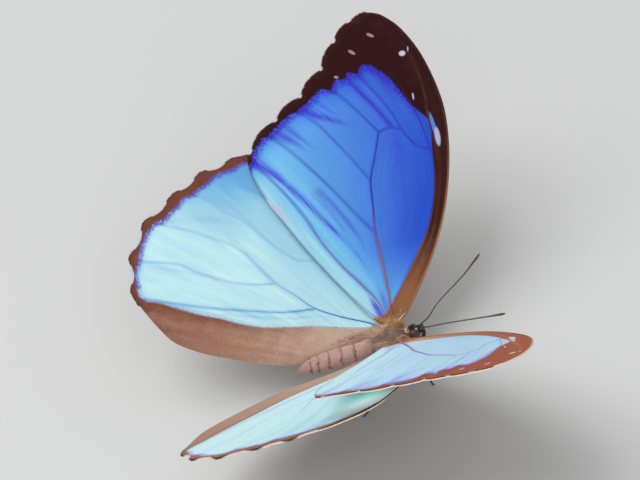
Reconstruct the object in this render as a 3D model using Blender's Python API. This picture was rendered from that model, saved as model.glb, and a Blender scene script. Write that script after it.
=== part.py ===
"""A blue morpho butterfly at life size, perched on four legs with its wings held in a wide V.

Lengths below are millimetres in the butterfly's own frame: x to its left, f forward along the
body, z up, with zero between the roots of the forewings. Blender's +Y is backward. The finished
model stands with its soles at z = 0 and the middle of its box over the origin.
"""

import math

import bmesh
import bpy
from mathutils import Matrix, Vector

MM = 0.001
FLOOR = -9.4  # height of the floor under the wing roots
SOLE_LIFT = 0.24  # height of a toe's axis over the floor

# The wings: where each root sits, and how the wing is turned about it.
FOREWING_ROOT = {"left": (3.3, 0.0, 0.0), "right": (3.3, 0.0, 0.0)}
HINDWING_ROOT = {"left": (3.37, 0.0, -1.24), "right": (3.37, 0.8, -1.24)}
FOREWING_TURN = {"left": (32.7, 2.7, 0.0), "right": (32.7, 2.7, 0.0)}  # dihedral, pitch, sweep
HINDWING_TURN = {"left": (31.6, 1.6, 0.0), "right": (28.5, -2.6, -2.9)}
FOREWING_EDGE, FOREWING_SPAR = 0.5, 0.4  # thickness at the rear edge, and what the front adds
HINDWING_EDGE = 0.5
WING_ROWS = 8
NEAR = 0.05  # half the distance over which a slope is measured

# Wing outlines, as (outward, forward) from the root.
FOREWING_COSTA = [(0.5, 2.1), (3.6, 5.5), (11.0, 11.4), (19.1, 16.2), (28.5, 19.9), (37.3, 21.9),
                  (44.1, 22.1), (51.9, 21.0), (58.0, 18.8), (61.6, 16.2), (63.2, 13.0)]
FOREWING_INNER = [(0.5, -2.4), (7.0, -6.3), (17.7, -11.4), (29.5, -16.0), (36.5, -17.8), (40.7, -17.8)]
FOREWING_NOTCHES = [(40.7, -17.8), (41.7, -16.4), (46.5, -10.0), (49.9, -3.9), (54.2, 1.7),
                    (59.1, 5.7), (62.3, 9.6), (63.2, 13.0)]
FOREWING_LOBE = 0.14  # how far a lobe of the margin swells, as a share of its chord
HINDWING_COSTA = [(0.3, -1.6), (6.0, 0.9), (14.0, 1.0), (22.0, -1.2), (30.7, -4.8), (37.4, -8.7),
                  (41.3, -12.4), (42.9, -17.0), (42.9, -20.2)]
HINDWING_TEETH = [(42.9, -20.2), (41.9, -27.2), (39.0, -33.6), (35.4, -40.2), (29.0, -45.3),
                  (22.0, -46.6)]
HINDWING_SCOOP = 0.07  # how far the margin dips between two teeth
HINDWING_INNER = [(0.3, -3.4), (-0.6, -7.5), (-1.1, -13.0), (-1.7, -18.5), (-1.4, -21.5), (-0.5, -24.8),
                  (0.9, -27.9), (2.8, -31.3), (5.7, -36.6), (9.4, -41.3), (13.6, -43.8), (18.8, -46.0)]
INNER_CURL = (1.9, 0.2, 1.9)  # how far the inner edge hangs, where that starts, and how wide it is

# The body, as rings of (f, height of the axis, half width, half height).
THORAX = [(2.2, -1.15, 0.9, 0.95), (1.85, -1.2, 1.7, 1.75), (1.0, -1.4, 2.5, 2.45),
          (-0.2, -1.55, 2.9, 2.95), (-1.6, -1.6, 2.95, 3.0), (-3.0, -1.65, 2.6, 2.65),
          (-4.0, -1.75, 2.1, 2.2), (-4.6, -1.85, 1.45, 1.6)]
ABDOMEN = [(-4.95, -1.95, 1.2, 1.2), (-5.5, -1.95, 1.65, 1.65), (-7.5, -2.0, 1.8, 1.8),
           (-10.5, -2.0, 1.85, 1.85), (-13.5, -2.0, 1.8, 1.8), (-16.0, -2.05, 1.68, 1.68),
           (-17.8, -2.1, 1.5, 1.5), (-19.3, -2.2, 1.0, 1.05), (-20.0, -2.25, 0.5, 0.55)]
HEAD = [(2.55, -1.0, 0.7, 0.75), (2.85, -1.0, 0.95, 1.15), (3.5, -1.0, 1.02, 1.4),
        (4.1, -1.05, 1.0, 1.35), (4.6, -1.15, 0.8, 1.05), (4.9, -1.2, 0.45, 0.6)]
EYE_SIZE = (0.78, 1.2, 1.3)
EYE_PLACE = (1.34, 3.55, -0.95)

# Limbs on the left, as paths of (x, f, z, radius). The right ones mirror them.
ANTENNA_LEFT = [(0.62, 5.15, -0.1, 0.3), (1.4, 6.8, 0.05, 0.27), (3.7, 9.5, 0.95, 0.26),
                (7.2, 15.5, 2.5, 0.27), (8.6, 18.0, 3.6, 0.34), (9.3, 19.2, 4.15, 0.38),
                (9.7, 19.9, 4.5, 0.27)]
ANTENNA_RIGHT = [(0.62, 5.15, -0.1, 0.3), (1.2, 6.6, -0.2, 0.27), (3.4, 10.8, 1.0, 0.26),
                 (7.0, 16.6, 2.9, 0.27), (8.4, 18.9, 3.65, 0.34), (9.0, 19.9, 4.0, 0.38),
                 (9.35, 20.5, 4.2, 0.27)]
PALP = [(0.95, 4.3, -2.85, 0.28), (0.82, 5.0, -2.6, 0.4), (0.72, 5.55, -1.95, 0.42),
        (0.62, 5.75, -1.3, 0.34), (0.56, 5.75, -0.9, 0.26)]
FORELEG = [(1.2, 1.6, -4.5, 0.3), (1.6, 2.9, -4.7, 0.36), (1.8, 4.2, -4.2, 0.33), (1.6, 4.0, -3.4, 0.28),
           (1.45, 3.0, -3.25, 0.26)]
MIDLEG = [(1.2, 0.4, -5.0, 0.5), (2.2, 0.9, -5.6, 0.5), (4.2, 2.2, -4.4, 0.4), (4.6, 2.5, -5.1, 0.33),
          (4.9, 3.1, -8.0, 0.29), (5.05, 3.3, -9.0, 0.28)]
MIDTOE = [(5.3, 3.4, FLOOR + SOLE_LIFT, 0.29), (7.3, 3.8, FLOOR + SOLE_LIFT, 0.29)]
HINDLEG = [(1.2, -2.4, -5.0, 0.5), (2.7, -3.3, -5.5, 0.5), (6.0, -6.2, -4.2, 0.4),
           (6.7, -6.8, -4.9, 0.33), (7.9, -8.4, -8.2, 0.29), (8.3, -8.9, -9.0, 0.28)]
HINDTOE = [(8.6, -9.2, FLOOR + SOLE_LIFT, 0.29), (10.2, -10.6, FLOOR + SOLE_LIFT, 0.29)]
COIL_CENTRE = (4.3, -4.0)  # f and z of the coiled tongue
COIL_RADII = (0.3, 1.05)
COIL_START = 70  # degrees above forward, where the tongue leaves the head
COIL_TURNS, COIL_STEPS = 1.2, 20
TONGUE_RADIUS = 0.25


def clear_file():
    for item in list(bpy.data.objects):
        bpy.data.objects.remove(item, do_unlink=True)


def finish(name, colour, roughness, metallic=0.0):
    """One Principled material."""
    made = bpy.data.materials.new(name)
    made.use_nodes = True
    shader = made.node_tree.nodes["Principled BSDF"]
    shader.inputs["Base Color"].default_value = (*colour, 1.0)
    shader.inputs["Roughness"].default_value = roughness
    shader.inputs["Metallic"].default_value = metallic
    return made


def finishes():
    return {
        "forewing": finish("forewing_scales", (0.055, 0.19, 0.72), 0.35, 0.25),
        "hindwing": finish("hindwing_scales", (0.36, 0.70, 0.86), 0.4, 0.2),
        "body": finish("body_hair", (0.21, 0.14, 0.11), 0.9),
        "eye": finish("eye_facets", (0.03, 0.02, 0.015), 0.25),
        "limb": finish("limb_shell", (0.035, 0.026, 0.022), 0.5),
    }


def point(x, f, z):
    """A place in the butterfly's frame as a Blender vector in metres."""
    return Vector((x, -f, z)) * MM


def smooth_line(points, steps):
    """A line through the points, with the given number of steps in all."""
    ends = [tuple(2 * a - b for a, b in zip(points[0], points[1]))]
    ends.append(tuple(2 * a - b for a, b in zip(points[-1], points[-2])))
    full = [ends[0], *points, ends[1]]
    fine = []
    for i in range(1, len(full) - 2):
        p0, p1, p2, p3 = full[i - 1:i + 3]
        for k in range(24):
            t = k / 24
            fine.append(tuple(0.5 * (2 * b + (c - a) * t + (2 * a - 5 * b + 4 * c - d) * t * t
                                     + (3 * b - a - 3 * c + d) * t ** 3)
                              for a, b, c, d in zip(p0, p1, p2, p3)))
    fine.append(tuple(points[-1]))
    return spread(fine, steps)


def spread(fine, steps):
    """The same line cut into equal lengths."""
    lengths = [0.0]
    for a, b in zip(fine, fine[1:]):
        lengths.append(lengths[-1] + math.dist(a, b))
    made, at = [], 0
    for k in range(steps + 1):
        goal = lengths[-1] * k / steps
        while at < len(fine) - 2 and lengths[at + 1] < goal:
            at += 1
        part = (goal - lengths[at]) / max(lengths[at + 1] - lengths[at], 1e-9)
        made.append(tuple(a + (b - a) * part for a, b in zip(fine[at], fine[at + 1])))
    return made


def scalloped(points, swell, steps):
    """A margin of arcs from point to point; each swells to its right by a share of its chord."""
    made = [points[0]]
    for (ax, ay), (bx, by) in zip(points, points[1:]):
        for k in range(1, steps + 1):
            t = k / steps
            bow = 4 * t * (1 - t) * swell
            made.append((ax + (bx - ax) * t + (by - ay) * bow, ay + (by - ay) * t - (bx - ax) * bow))
    return made


def solid(name, mesh, material, smooth_angle=50):
    """A named object from a bmesh, with outward faces."""
    bmesh.ops.remove_doubles(mesh, verts=mesh.verts, dist=0.000001)
    bmesh.ops.recalc_face_normals(mesh, faces=mesh.faces)
    if mesh.calc_volume(signed=True) < 0:
        bmesh.ops.reverse_faces(mesh, faces=mesh.faces)
    data = bpy.data.meshes.new(name)
    mesh.to_mesh(data)
    mesh.free()
    data.materials.append(material)
    for face in data.polygons:
        face.use_smooth = True
    for edge in data.edges:
        edge.use_edge_sharp = False
    made = bpy.data.objects.new(name, data)
    bpy.context.scene.collection.objects.link(made)
    data.set_sharp_from_angle(angle=math.radians(smooth_angle))
    return made


def wing(name, material, root, turn, front, rear, side, lift, thickness, crowd):
    """A wing: a grid between its front and rear edges, cambered by lift and thickened."""
    dihedral, pitch, sweep = (math.radians(a) for a in turn)
    turned = Matrix.Rotation(-dihedral, 3, "Y") @ Matrix.Rotation(pitch, 3, "X")
    turned = turned @ Matrix.Rotation(sweep, 3, "Z")
    columns = len(front) - 1
    mesh = bmesh.new()
    grid = bmesh.ops.create_grid(mesh, x_segments=columns, y_segments=WING_ROWS, size=1.0)["verts"]
    drops = {}
    for vert in grid:
        column = round((vert.co.x + 1) / 2 * columns)
        across = 1 - (1 - (vert.co.y + 1) / 2) ** crowd
        (au, av), (bu, bv) = front[column], rear[column]
        u, v = au + (bu - au) * across, av + (bv - av) * across
        slope_u = (lift(u + NEAR, v) - lift(u - NEAR, v)) / (2 * NEAR)
        slope_v = (lift(u, v + NEAR) - lift(u, v - NEAR)) / (2 * NEAR)
        out = Vector((-slope_u, slope_v, 1)).normalized() * thickness(across, u)
        vert.co = (turned @ (Vector((u, -v, lift(u, v))) + out / 2)) * MM + point(*root)
        drops[tuple(vert.co)] = (turned @ -out) * MM
    under = bmesh.ops.extrude_face_region(mesh, geom=list(mesh.faces), use_keep_orig=True)["geom"]
    for vert in under:
        if isinstance(vert, bmesh.types.BMVert):
            vert.co = vert.co + drops[tuple(vert.co)]
    if side == "right":
        bmesh.ops.scale(mesh, vec=(-1, 1, 1), verts=mesh.verts)
    return solid(name, mesh, material, 35)


def hill(value, centre, width):
    return math.exp(-((value - centre) / width) ** 2)


def forewing_lift(u, v):
    """The costa is a little raised, and the rear of the margin hangs."""
    costa = 0.2 * hill(u, 13, 14) * hill(v - 0.75 * u, 2.5, 5.5)
    margin = -0.68 * hill(0.9 * u - 0.42 * v, 47, 6) * hill(v, -6.5, 11)
    return costa + margin


def hindwing_lift(u, v):
    """The inner edge curls down beside the abdomen."""
    depth, start, width = INNER_CURL
    part = max(0.0, (start - u) / width)
    return -depth * part * part * hill(v, -17, 9)


def forewings(looks):
    inner = smooth_line(FOREWING_INNER, 14)
    margin = scalloped(FOREWING_NOTCHES[:2], 0.0, 1)[1:]
    margin += scalloped(FOREWING_NOTCHES[1:-1], FOREWING_LOBE, 4)[1:]
    margin += scalloped(FOREWING_NOTCHES[-2:], 0.06, 2)[1:]
    rear = inner + margin
    front = smooth_line(FOREWING_COSTA, len(rear) - 1)

    def thickness(across, u):
        return FOREWING_EDGE + FOREWING_SPAR * (1 - across) ** 2 * (1 - 0.5 * u / 63)

    for side in ("left", "right"):
        wing("forewing_" + side, looks["forewing"], FOREWING_ROOT[side], FOREWING_TURN[side],
             front, rear, side, forewing_lift, thickness, 1.0)


def hindwings(looks):
    front = smooth_line(HINDWING_COSTA, 16)
    front += scalloped(HINDWING_TEETH, HINDWING_SCOOP, 4)[1:]
    rear = smooth_line(HINDWING_INNER, len(front) - 1)

    for side in ("left", "right"):
        wing("hindwing_" + side, looks["hindwing"], HINDWING_ROOT[side], HINDWING_TURN[side],
             front, rear, side, hindwing_lift, lambda across, u: HINDWING_EDGE, 2.0)


def skin_rings(mesh, rings):
    """Joins rings of vertices into a closed skin."""
    for a, b in zip(rings, rings[1:]):
        edges = []
        for ring in (a, b):
            for k, vert in enumerate(ring):
                edges.append(mesh.edges.get((vert, ring[k - 1])) or mesh.edges.new((vert, ring[k - 1])))
        bmesh.ops.bridge_loops(mesh, edges=edges)
    for ring in (rings[0], rings[-1]):
        mesh.faces.new(ring)


def body_length(name, material, sections, sides):
    """A length of the body, skinned over oval rings."""
    mesh = bmesh.new()
    rings = []
    for f, z, half_width, half_height in sections:
        place = Matrix.Translation(point(0, f, z)) @ Matrix.Rotation(math.radians(90), 4, "X")
        place = place @ Matrix.Diagonal((half_width * MM, half_height * MM, 1, 1))
        rings.append(bmesh.ops.create_circle(mesh, segments=sides, radius=1.0, matrix=place)["verts"])
    skin_rings(mesh, rings)
    return solid(name, mesh, material, 60)


def limb(name, material, path, side, sides=8, floor=None, steps=None):
    """A round limb along a path; with a floor, what is lower is made a flat sole."""
    line = smooth_line(path, steps) if steps else [tuple(p) for p in path]
    mesh = bmesh.new()
    rings = []
    across = Vector((0, 0, 1))
    for k, (x, f, z, radius) in enumerate(line):
        before, after = line[max(k - 1, 0)], line[min(k + 1, len(line) - 1)]
        ahead = (point(*after[:3]) - point(*before[:3])).normalized()
        across = (across - ahead * across.dot(ahead)).normalized()
        turned = Matrix((across, ahead.cross(across), ahead)).transposed().to_4x4()
        place = Matrix.Translation(point(x, f, z)) @ turned
        rings.append(bmesh.ops.create_circle(mesh, segments=sides, radius=radius * MM, matrix=place)["verts"])
    skin_rings(mesh, rings)
    if floor is not None:
        cut = bmesh.ops.bisect_plane(mesh, geom=mesh.verts[:] + mesh.edges[:] + mesh.faces[:],
                                     plane_co=(0, 0, floor * MM), plane_no=(0, 0, -1), clear_outer=True)
        rim = [e for e in cut["geom_cut"] if isinstance(e, bmesh.types.BMEdge)]
        bmesh.ops.holes_fill(mesh, edges=rim, sides=0)
    if side == "right":
        bmesh.ops.scale(mesh, vec=(-1, 1, 1), verts=mesh.verts)
    return solid(name, mesh, material, 60)


def body(looks):
    body_length("thorax", looks["body"], THORAX, 20)
    body_length("abdomen", looks["body"], ABDOMEN, 20)
    body_length("head", looks["body"], HEAD, 16)


def eyes(looks):
    """Domes with flat inner sides, against the head."""
    for side in ("left", "right"):
        mesh = bmesh.new()
        place = Matrix.Translation(point(*EYE_PLACE))
        place = place @ Matrix.Diagonal((*(s * MM for s in EYE_SIZE), 1))
        place = place @ Matrix.Rotation(math.radians(90), 4, "Y")
        bmesh.ops.create_uvsphere(mesh, u_segments=16, v_segments=10, radius=1.0, matrix=place)
        cut = bmesh.ops.bisect_plane(mesh, geom=mesh.verts[:] + mesh.edges[:] + mesh.faces[:], dist=0.0,
                                     plane_co=(EYE_PLACE[0] * MM + 0.00002, 0, 0), plane_no=(-1, 0, 0),
                                     clear_outer=True)
        rim = [e for e in cut["geom_cut"] if isinstance(e, bmesh.types.BMEdge)]
        bmesh.ops.holes_fill(mesh, edges=rim, sides=0)
        if side == "right":
            bmesh.ops.scale(mesh, vec=(-1, 1, 1), verts=mesh.verts)
        solid("eye_" + side, mesh, looks["eye"], 60)


def head_limbs(looks):
    for side, path in (("left", ANTENNA_LEFT), ("right", ANTENNA_RIGHT)):
        limb("antenna_" + side, looks["limb"], path, side, 6, steps=14)
        limb("palp_" + side, looks["body"], PALP, side, 8, steps=7)
    coil = []
    for k in range(COIL_STEPS + 1):
        part = k / COIL_STEPS
        angle = math.radians(COIL_START) - part * COIL_TURNS * math.tau
        radius = COIL_RADII[1] + (COIL_RADII[0] - COIL_RADII[1]) * part
        f = COIL_CENTRE[0] + radius * math.cos(angle)
        z = COIL_CENTRE[1] + radius * math.sin(angle)
        coil.append((0.0, f, z, TONGUE_RADIUS))
    limb("proboscis", looks["limb"], coil, "left", 6)


def legs(looks):
    """Two small folded forelegs, and four that stand."""
    for side in ("left", "right"):
        limb("foreleg_" + side, looks["limb"], FORELEG, side, 6, steps=8)
        limb("midleg_" + side, looks["limb"], MIDLEG + MIDTOE, side, 8, floor=FLOOR)
        limb("hindleg_" + side, looks["limb"], HINDLEG + HINDTOE, side, 8, floor=FLOOR)


def stand_on_origin():
    """Moves every piece so that the base of the whole box is centred on the origin."""
    corners = [vert.co for item in bpy.data.objects for vert in item.data.vertices]
    low = Vector(min(c[i] for c in corners) for i in range(3))
    high = Vector(max(c[i] for c in corners) for i in range(3))
    shift = Matrix.Translation((-(low.x + high.x) / 2, -(low.y + high.y) / 2, -low.z))
    for item in bpy.data.objects:
        item.data.transform(shift)


def main():
    clear_file()
    looks = finishes()
    forewings(looks)
    hindwings(looks)
    body(looks)
    eyes(looks)
    head_limbs(looks)
    legs(looks)
    stand_on_origin()


main()
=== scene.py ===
"""The looks of a blue morpho butterfly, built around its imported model.

Lengths are millimetres in the butterfly's own frame: x to its left, f forward along the body, z up,
from a zero point between the forewing roots. A place on a wing is (u, v): outward from that wing's
root and forward. Blender's +Y is backward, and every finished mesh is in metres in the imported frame.
"""

import functools
import logging
import math
from dataclasses import dataclass, field
from enum import Enum
from typing import Sequence

import bpy
import numpy as np
from mathutils import Matrix, Vector


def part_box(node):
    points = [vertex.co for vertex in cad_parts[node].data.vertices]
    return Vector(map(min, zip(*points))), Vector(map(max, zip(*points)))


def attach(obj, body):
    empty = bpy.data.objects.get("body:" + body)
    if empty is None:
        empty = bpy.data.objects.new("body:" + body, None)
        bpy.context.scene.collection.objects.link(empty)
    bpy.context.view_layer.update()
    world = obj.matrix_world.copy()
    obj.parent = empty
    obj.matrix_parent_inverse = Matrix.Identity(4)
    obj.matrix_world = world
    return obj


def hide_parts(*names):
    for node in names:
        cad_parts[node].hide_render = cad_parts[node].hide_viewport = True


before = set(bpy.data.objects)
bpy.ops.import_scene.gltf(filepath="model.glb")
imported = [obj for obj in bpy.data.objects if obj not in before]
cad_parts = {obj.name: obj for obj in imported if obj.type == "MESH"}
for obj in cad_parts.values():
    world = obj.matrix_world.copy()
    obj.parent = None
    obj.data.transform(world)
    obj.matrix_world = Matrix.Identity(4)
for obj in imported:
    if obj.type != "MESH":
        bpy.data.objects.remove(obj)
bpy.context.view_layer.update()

LOG = logging.getLogger("butterfly")
MM = 0.001
BODY = "root"
BAKE_MAP = "OFBake"
TUFT_PATCH = 0.003  # width of a tuft's patch on the bake map
SKIN_BACK, SKIN_LENGTH = 20.2, 25.4  # the length of body that the bake map covers: from f = -20.2 forward
VEIN_REACH = 45.0  # how far from a wing's root its veins have the colour of their tips

# The zero point is between the forewing roots, 2.2 mm behind the thorax's front and 4.6 mm above its belly.
FRONT_AHEAD, BELLY_BELOW = 2.2, 4.6
ZERO = np.array([0.0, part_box("thorax")[0].y / MM + FRONT_AHEAD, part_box("thorax")[0].z / MM + BELLY_BELOW])
PACKED = np.array([1.0, -1.0, 1.0])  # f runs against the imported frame's +Y

Colour = tuple[float, float, float]
Flat = tuple[float, float]
BLACK = (0.0, 0.0, 0.0)
Stops = Sequence[tuple[float, Colour]]


class Side(Enum):
    """The butterfly's two sides."""

    LEFT = "left"
    RIGHT = "right"

    @property
    def sign(self) -> float:
        """+1 on the left, where x is positive, and -1 on the right."""
        return 1.0 if self is Side.LEFT else -1.0


# ---------------------------------------------------------------- lines and fields


def curve_through(points: Sequence, per: int = 24) -> np.ndarray:
    """A smooth line through points.

    Args:
        points: places of any dimension.
        per: how many steps there are between two of them.

    Returns:
        The line's places, one in a row.
    """
    p = np.array(points, float)
    p = np.vstack([2 * p[0] - p[1], p, 2 * p[-1] - p[-2]])
    t = np.linspace(0, 1, per, endpoint=False)[:, None]
    runs = []
    for a, b, c, d in zip(p, p[1:], p[2:], p[3:]):
        runs.append(0.5 * (2 * b + (c - a) * t + (2 * a - 5 * b + 4 * c - d) * t ** 2
                           + (3 * b - a - 3 * c + d) * t ** 3))
    return np.vstack([*runs, p[-2:-1]])


def lengths_along(line: np.ndarray) -> np.ndarray:
    """How far along a line each of its places is."""
    return np.concatenate([[0.0], np.cumsum(np.linalg.norm(np.diff(line, axis=0), axis=1))])


def even(line: np.ndarray, count: int) -> np.ndarray:
    """A line cut into a number of equal lengths."""
    reach = lengths_along(line)
    goals = np.linspace(0, reach[-1], count + 1)
    return np.stack([np.interp(goals, reach, line[:, k]) for k in range(line.shape[1])], axis=1)


def scallops(points: Sequence[Flat], swell: float, steps: int = 16, rounded: bool = False) -> np.ndarray:
    """A margin of arcs from point to point.

    Args:
        points: the arcs' ends.
        swell: how far an arc swells to its right, as a share of its chord.
        steps: places in one arc.
        rounded: whether the arcs run smoothly into one another.

    Returns:
        The margin's places.
    """
    made = [np.array(points[:1], float)]
    for a, b in zip(np.array(points, float), np.array(points[1:], float)):
        t = np.linspace(0, 1, steps + 1)[1:, None]
        across = np.array([b[1] - a[1], a[0] - b[0]])
        bulge = np.sin(math.pi * t) ** 2 if rounded else 4 * t * (1 - t)
        made.append(a + (b - a) * t + across * bulge * swell)
    return np.vstack(made)


def distance_to(line: np.ndarray, places: np.ndarray) -> tuple[np.ndarray, np.ndarray]:
    """How far places are from a line.

    Args:
        line: the line's places.
        places: the places to measure.

    Returns:
        The distances, and the share of the line that lies before each nearest point.
    """
    best, along = np.full(len(places), np.inf), np.zeros(len(places))
    reach = lengths_along(line)
    for k, (a, b) in enumerate(zip(line, line[1:])):
        run = b - a
        t = np.clip(((places - a) @ run) / max(run @ run, 1e-12), 0, 1)
        gap = np.linalg.norm(places - a - t[:, None] * run, axis=1)
        near = gap < best
        best[near] = gap[near]
        along[near] = (reach[k] + t[near] * (reach[k + 1] - reach[k])) / reach[-1]
    return best, along


def inside(outline: np.ndarray, places: np.ndarray) -> np.ndarray:
    """Whether each place lies inside a closed outline."""
    found = np.zeros(len(places), bool)
    x, y = places[:, 0], places[:, 1]
    for (ax, ay), (bx, by) in zip(outline, np.roll(outline, -1, axis=0)):
        crosses = (ay > y) != (by > y)
        found ^= crosses & (x < (bx - ax) * (y - ay) / (by - ay + 1e-12) + ax)
    return found


def hill(value: np.ndarray, centre: float, width: float) -> np.ndarray:
    """A smooth bump of height 1."""
    return np.exp(-((value - centre) / width) ** 2)


def to_metres(places: np.ndarray) -> np.ndarray:
    """Places (x, f, z) in the butterfly's frame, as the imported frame's own, in metres."""
    return (places * PACKED + ZERO) * MM


def unit(rows: np.ndarray) -> np.ndarray:
    """Directions, one in a row, each made as long as 1."""
    return rows / np.maximum(np.linalg.norm(rows, axis=1), 1e-9)[:, None]


def nearest(places: np.ndarray, goals: np.ndarray) -> tuple[np.ndarray, np.ndarray]:
    """The number of the goal nearest to each place, and how far off it is."""
    gaps = np.linalg.norm(places[:, None] - goals[None], axis=2)
    return gaps.argmin(axis=1), gaps.min(axis=1)


# ---------------------------------------------------------------- meshes


def select_none() -> None:
    """Leaves edit mode and deselects every object."""
    if bpy.context.object and bpy.context.object.mode != "OBJECT":
        bpy.ops.object.mode_set(mode="OBJECT")
    bpy.ops.object.select_all(action="DESELECT")


def select_only(piece: bpy.types.Object) -> None:
    """Leaves one object selected and active."""
    select_none()
    piece.select_set(True)
    bpy.context.view_layer.objects.active = piece


def added(name: str) -> bpy.types.Object:
    """The object that an operator has just added, with its name given."""
    piece = bpy.context.object
    piece.name = piece.data.name = name
    return piece


def places_of(mesh: bpy.types.Mesh) -> np.ndarray:
    """A mesh's vertices, one in a row."""
    flat = np.zeros(len(mesh.vertices) * 3, np.float32)
    mesh.vertices.foreach_get("co", flat)
    return flat.reshape(-1, 3).astype(float)


def body_places(mesh: bpy.types.Mesh) -> np.ndarray:
    """A mesh's vertices as places (x, f, z) in the butterfly's frame."""
    return (places_of(mesh) / MM - ZERO) * PACKED


def corners_of(mesh: bpy.types.Mesh) -> np.ndarray:
    """The number of the vertex at each face corner."""
    found = np.zeros(len(mesh.loops), np.int32)
    mesh.loops.foreach_get("vertex_index", found)
    return found


def lay_out(mesh: bpy.types.Mesh, flat: np.ndarray) -> None:
    """Sets the bake map, from a place for each face corner."""
    layer = mesh.uv_layers.get(BAKE_MAP) or mesh.uv_layers.new(name=BAKE_MAP)
    layer.data.foreach_set("uv", flat.astype(np.float32).ravel())


def set_places(mesh: bpy.types.Mesh, places: np.ndarray) -> None:
    """Moves a mesh's vertices."""
    mesh.vertices.foreach_set("co", places.astype(np.float32).ravel())
    mesh.update()


def paint(mesh: bpy.types.Mesh, name: str, values: np.ndarray) -> None:
    """Gives a mesh a named attribute on its vertices, of numbers or of places."""
    flat = values.ndim == 1
    made = mesh.attributes.new(name, "FLOAT" if flat else "FLOAT_VECTOR", "POINT")
    made.data.foreach_set("value" if flat else "vector", values.astype(np.float32).ravel())


def smooth_shaded(piece: bpy.types.Object, angle: float = 180.0) -> None:
    """Shades a piece smooth, up to an angle in degrees between faces."""
    select_only(piece)
    if angle < 180:
        bpy.ops.object.shade_smooth_by_angle(angle=math.radians(angle))
    else:
        bpy.ops.object.shade_smooth()


def apply_modifier(piece: bpy.types.Object, kind: str, **settings) -> None:
    """Adds a modifier to a piece and applies it.

    Args:
        piece: the mesh object.
        kind: the modifier's type.
        settings: the modifier's own settings.
    """
    select_only(piece)
    made = piece.modifiers.new(kind.title(), kind)
    for name, value in settings.items():
        setattr(made, name, value)
    bpy.ops.object.modifier_apply(modifier=made.name)


def mesh_object(name: str, places: np.ndarray, faces: np.ndarray) -> bpy.types.Object:
    """An object from many like faces.

    Args:
        name: the object's name.
        places: its vertices, in metres.
        faces: vertex numbers, where -1 fills a row that has fewer corners.

    Returns:
        The object, linked to the scene.
    """
    mesh = bpy.data.meshes.new(name)
    used = faces >= 0
    counts = used.sum(axis=1)
    mesh.vertices.add(len(places))
    mesh.vertices.foreach_set("co", places.astype(np.float32).ravel())
    mesh.loops.add(int(counts.sum()))
    mesh.loops.foreach_set("vertex_index", faces[used].astype(np.int32))
    mesh.polygons.add(len(faces))
    mesh.polygons.foreach_set("loop_start", np.concatenate([[0], np.cumsum(counts)[:-1]]).astype(np.int32))
    mesh.update(calc_edges=True)
    mesh.validate()
    made = bpy.data.objects.new(name, mesh)
    bpy.context.scene.collection.objects.link(made)
    return made


def add_piece(piece: bpy.types.Object, nodes: Sequence[str], slot: str, *looks: bpy.types.Material) -> None:
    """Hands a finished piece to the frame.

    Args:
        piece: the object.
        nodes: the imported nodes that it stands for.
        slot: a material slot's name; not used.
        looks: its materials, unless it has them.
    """
    if looks:
        piece.data.materials.clear()
    for look in looks:
        piece.data.materials.append(look)
    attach(piece, BODY)
    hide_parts(*nodes)
    LOG.info("%s: %d faces for %s", piece.name, len(piece.data.polygons), ", ".join(nodes))


def tube(name: str, path: np.ndarray, radii: np.ndarray, sides: int = 10) -> bpy.types.Object:
    """A round limb, drawn as a curve with a bevel and made a mesh.

    Args:
        name: the object's name.
        path: its places (x, f, z).
        radii: its radius at each of them.
        sides: faces round it, an even number.

    Returns:
        The mesh object, with the share of its length in an attribute named along.
    """
    select_none()
    bpy.ops.curve.primitive_nurbs_path_add(location=(0, 0, 0))
    piece = added(name)
    data = piece.data
    data.splines.clear()
    spline = data.splines.new("POLY")
    spline.points.add(len(path) - 1)
    metres = to_metres(path)
    spline.points.foreach_set("co", np.column_stack([metres, np.ones(len(path))]).ravel())
    spline.points.foreach_set("radius", np.asarray(radii, float))
    data.dimensions, data.bevel_depth, data.bevel_resolution = "3D", MM, sides // 2 - 2
    data.use_fill_caps, data.twist_mode = True, "MINIMUM"
    select_only(piece)
    bpy.ops.object.convert(target="MESH")
    piece = bpy.context.object
    apply_modifier(piece, "WELD", merge_threshold=1e-7)
    paint(piece.data, "along", distance_to(metres, places_of(piece.data))[1])
    smooth_shaded(piece, 60)
    return piece


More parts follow.
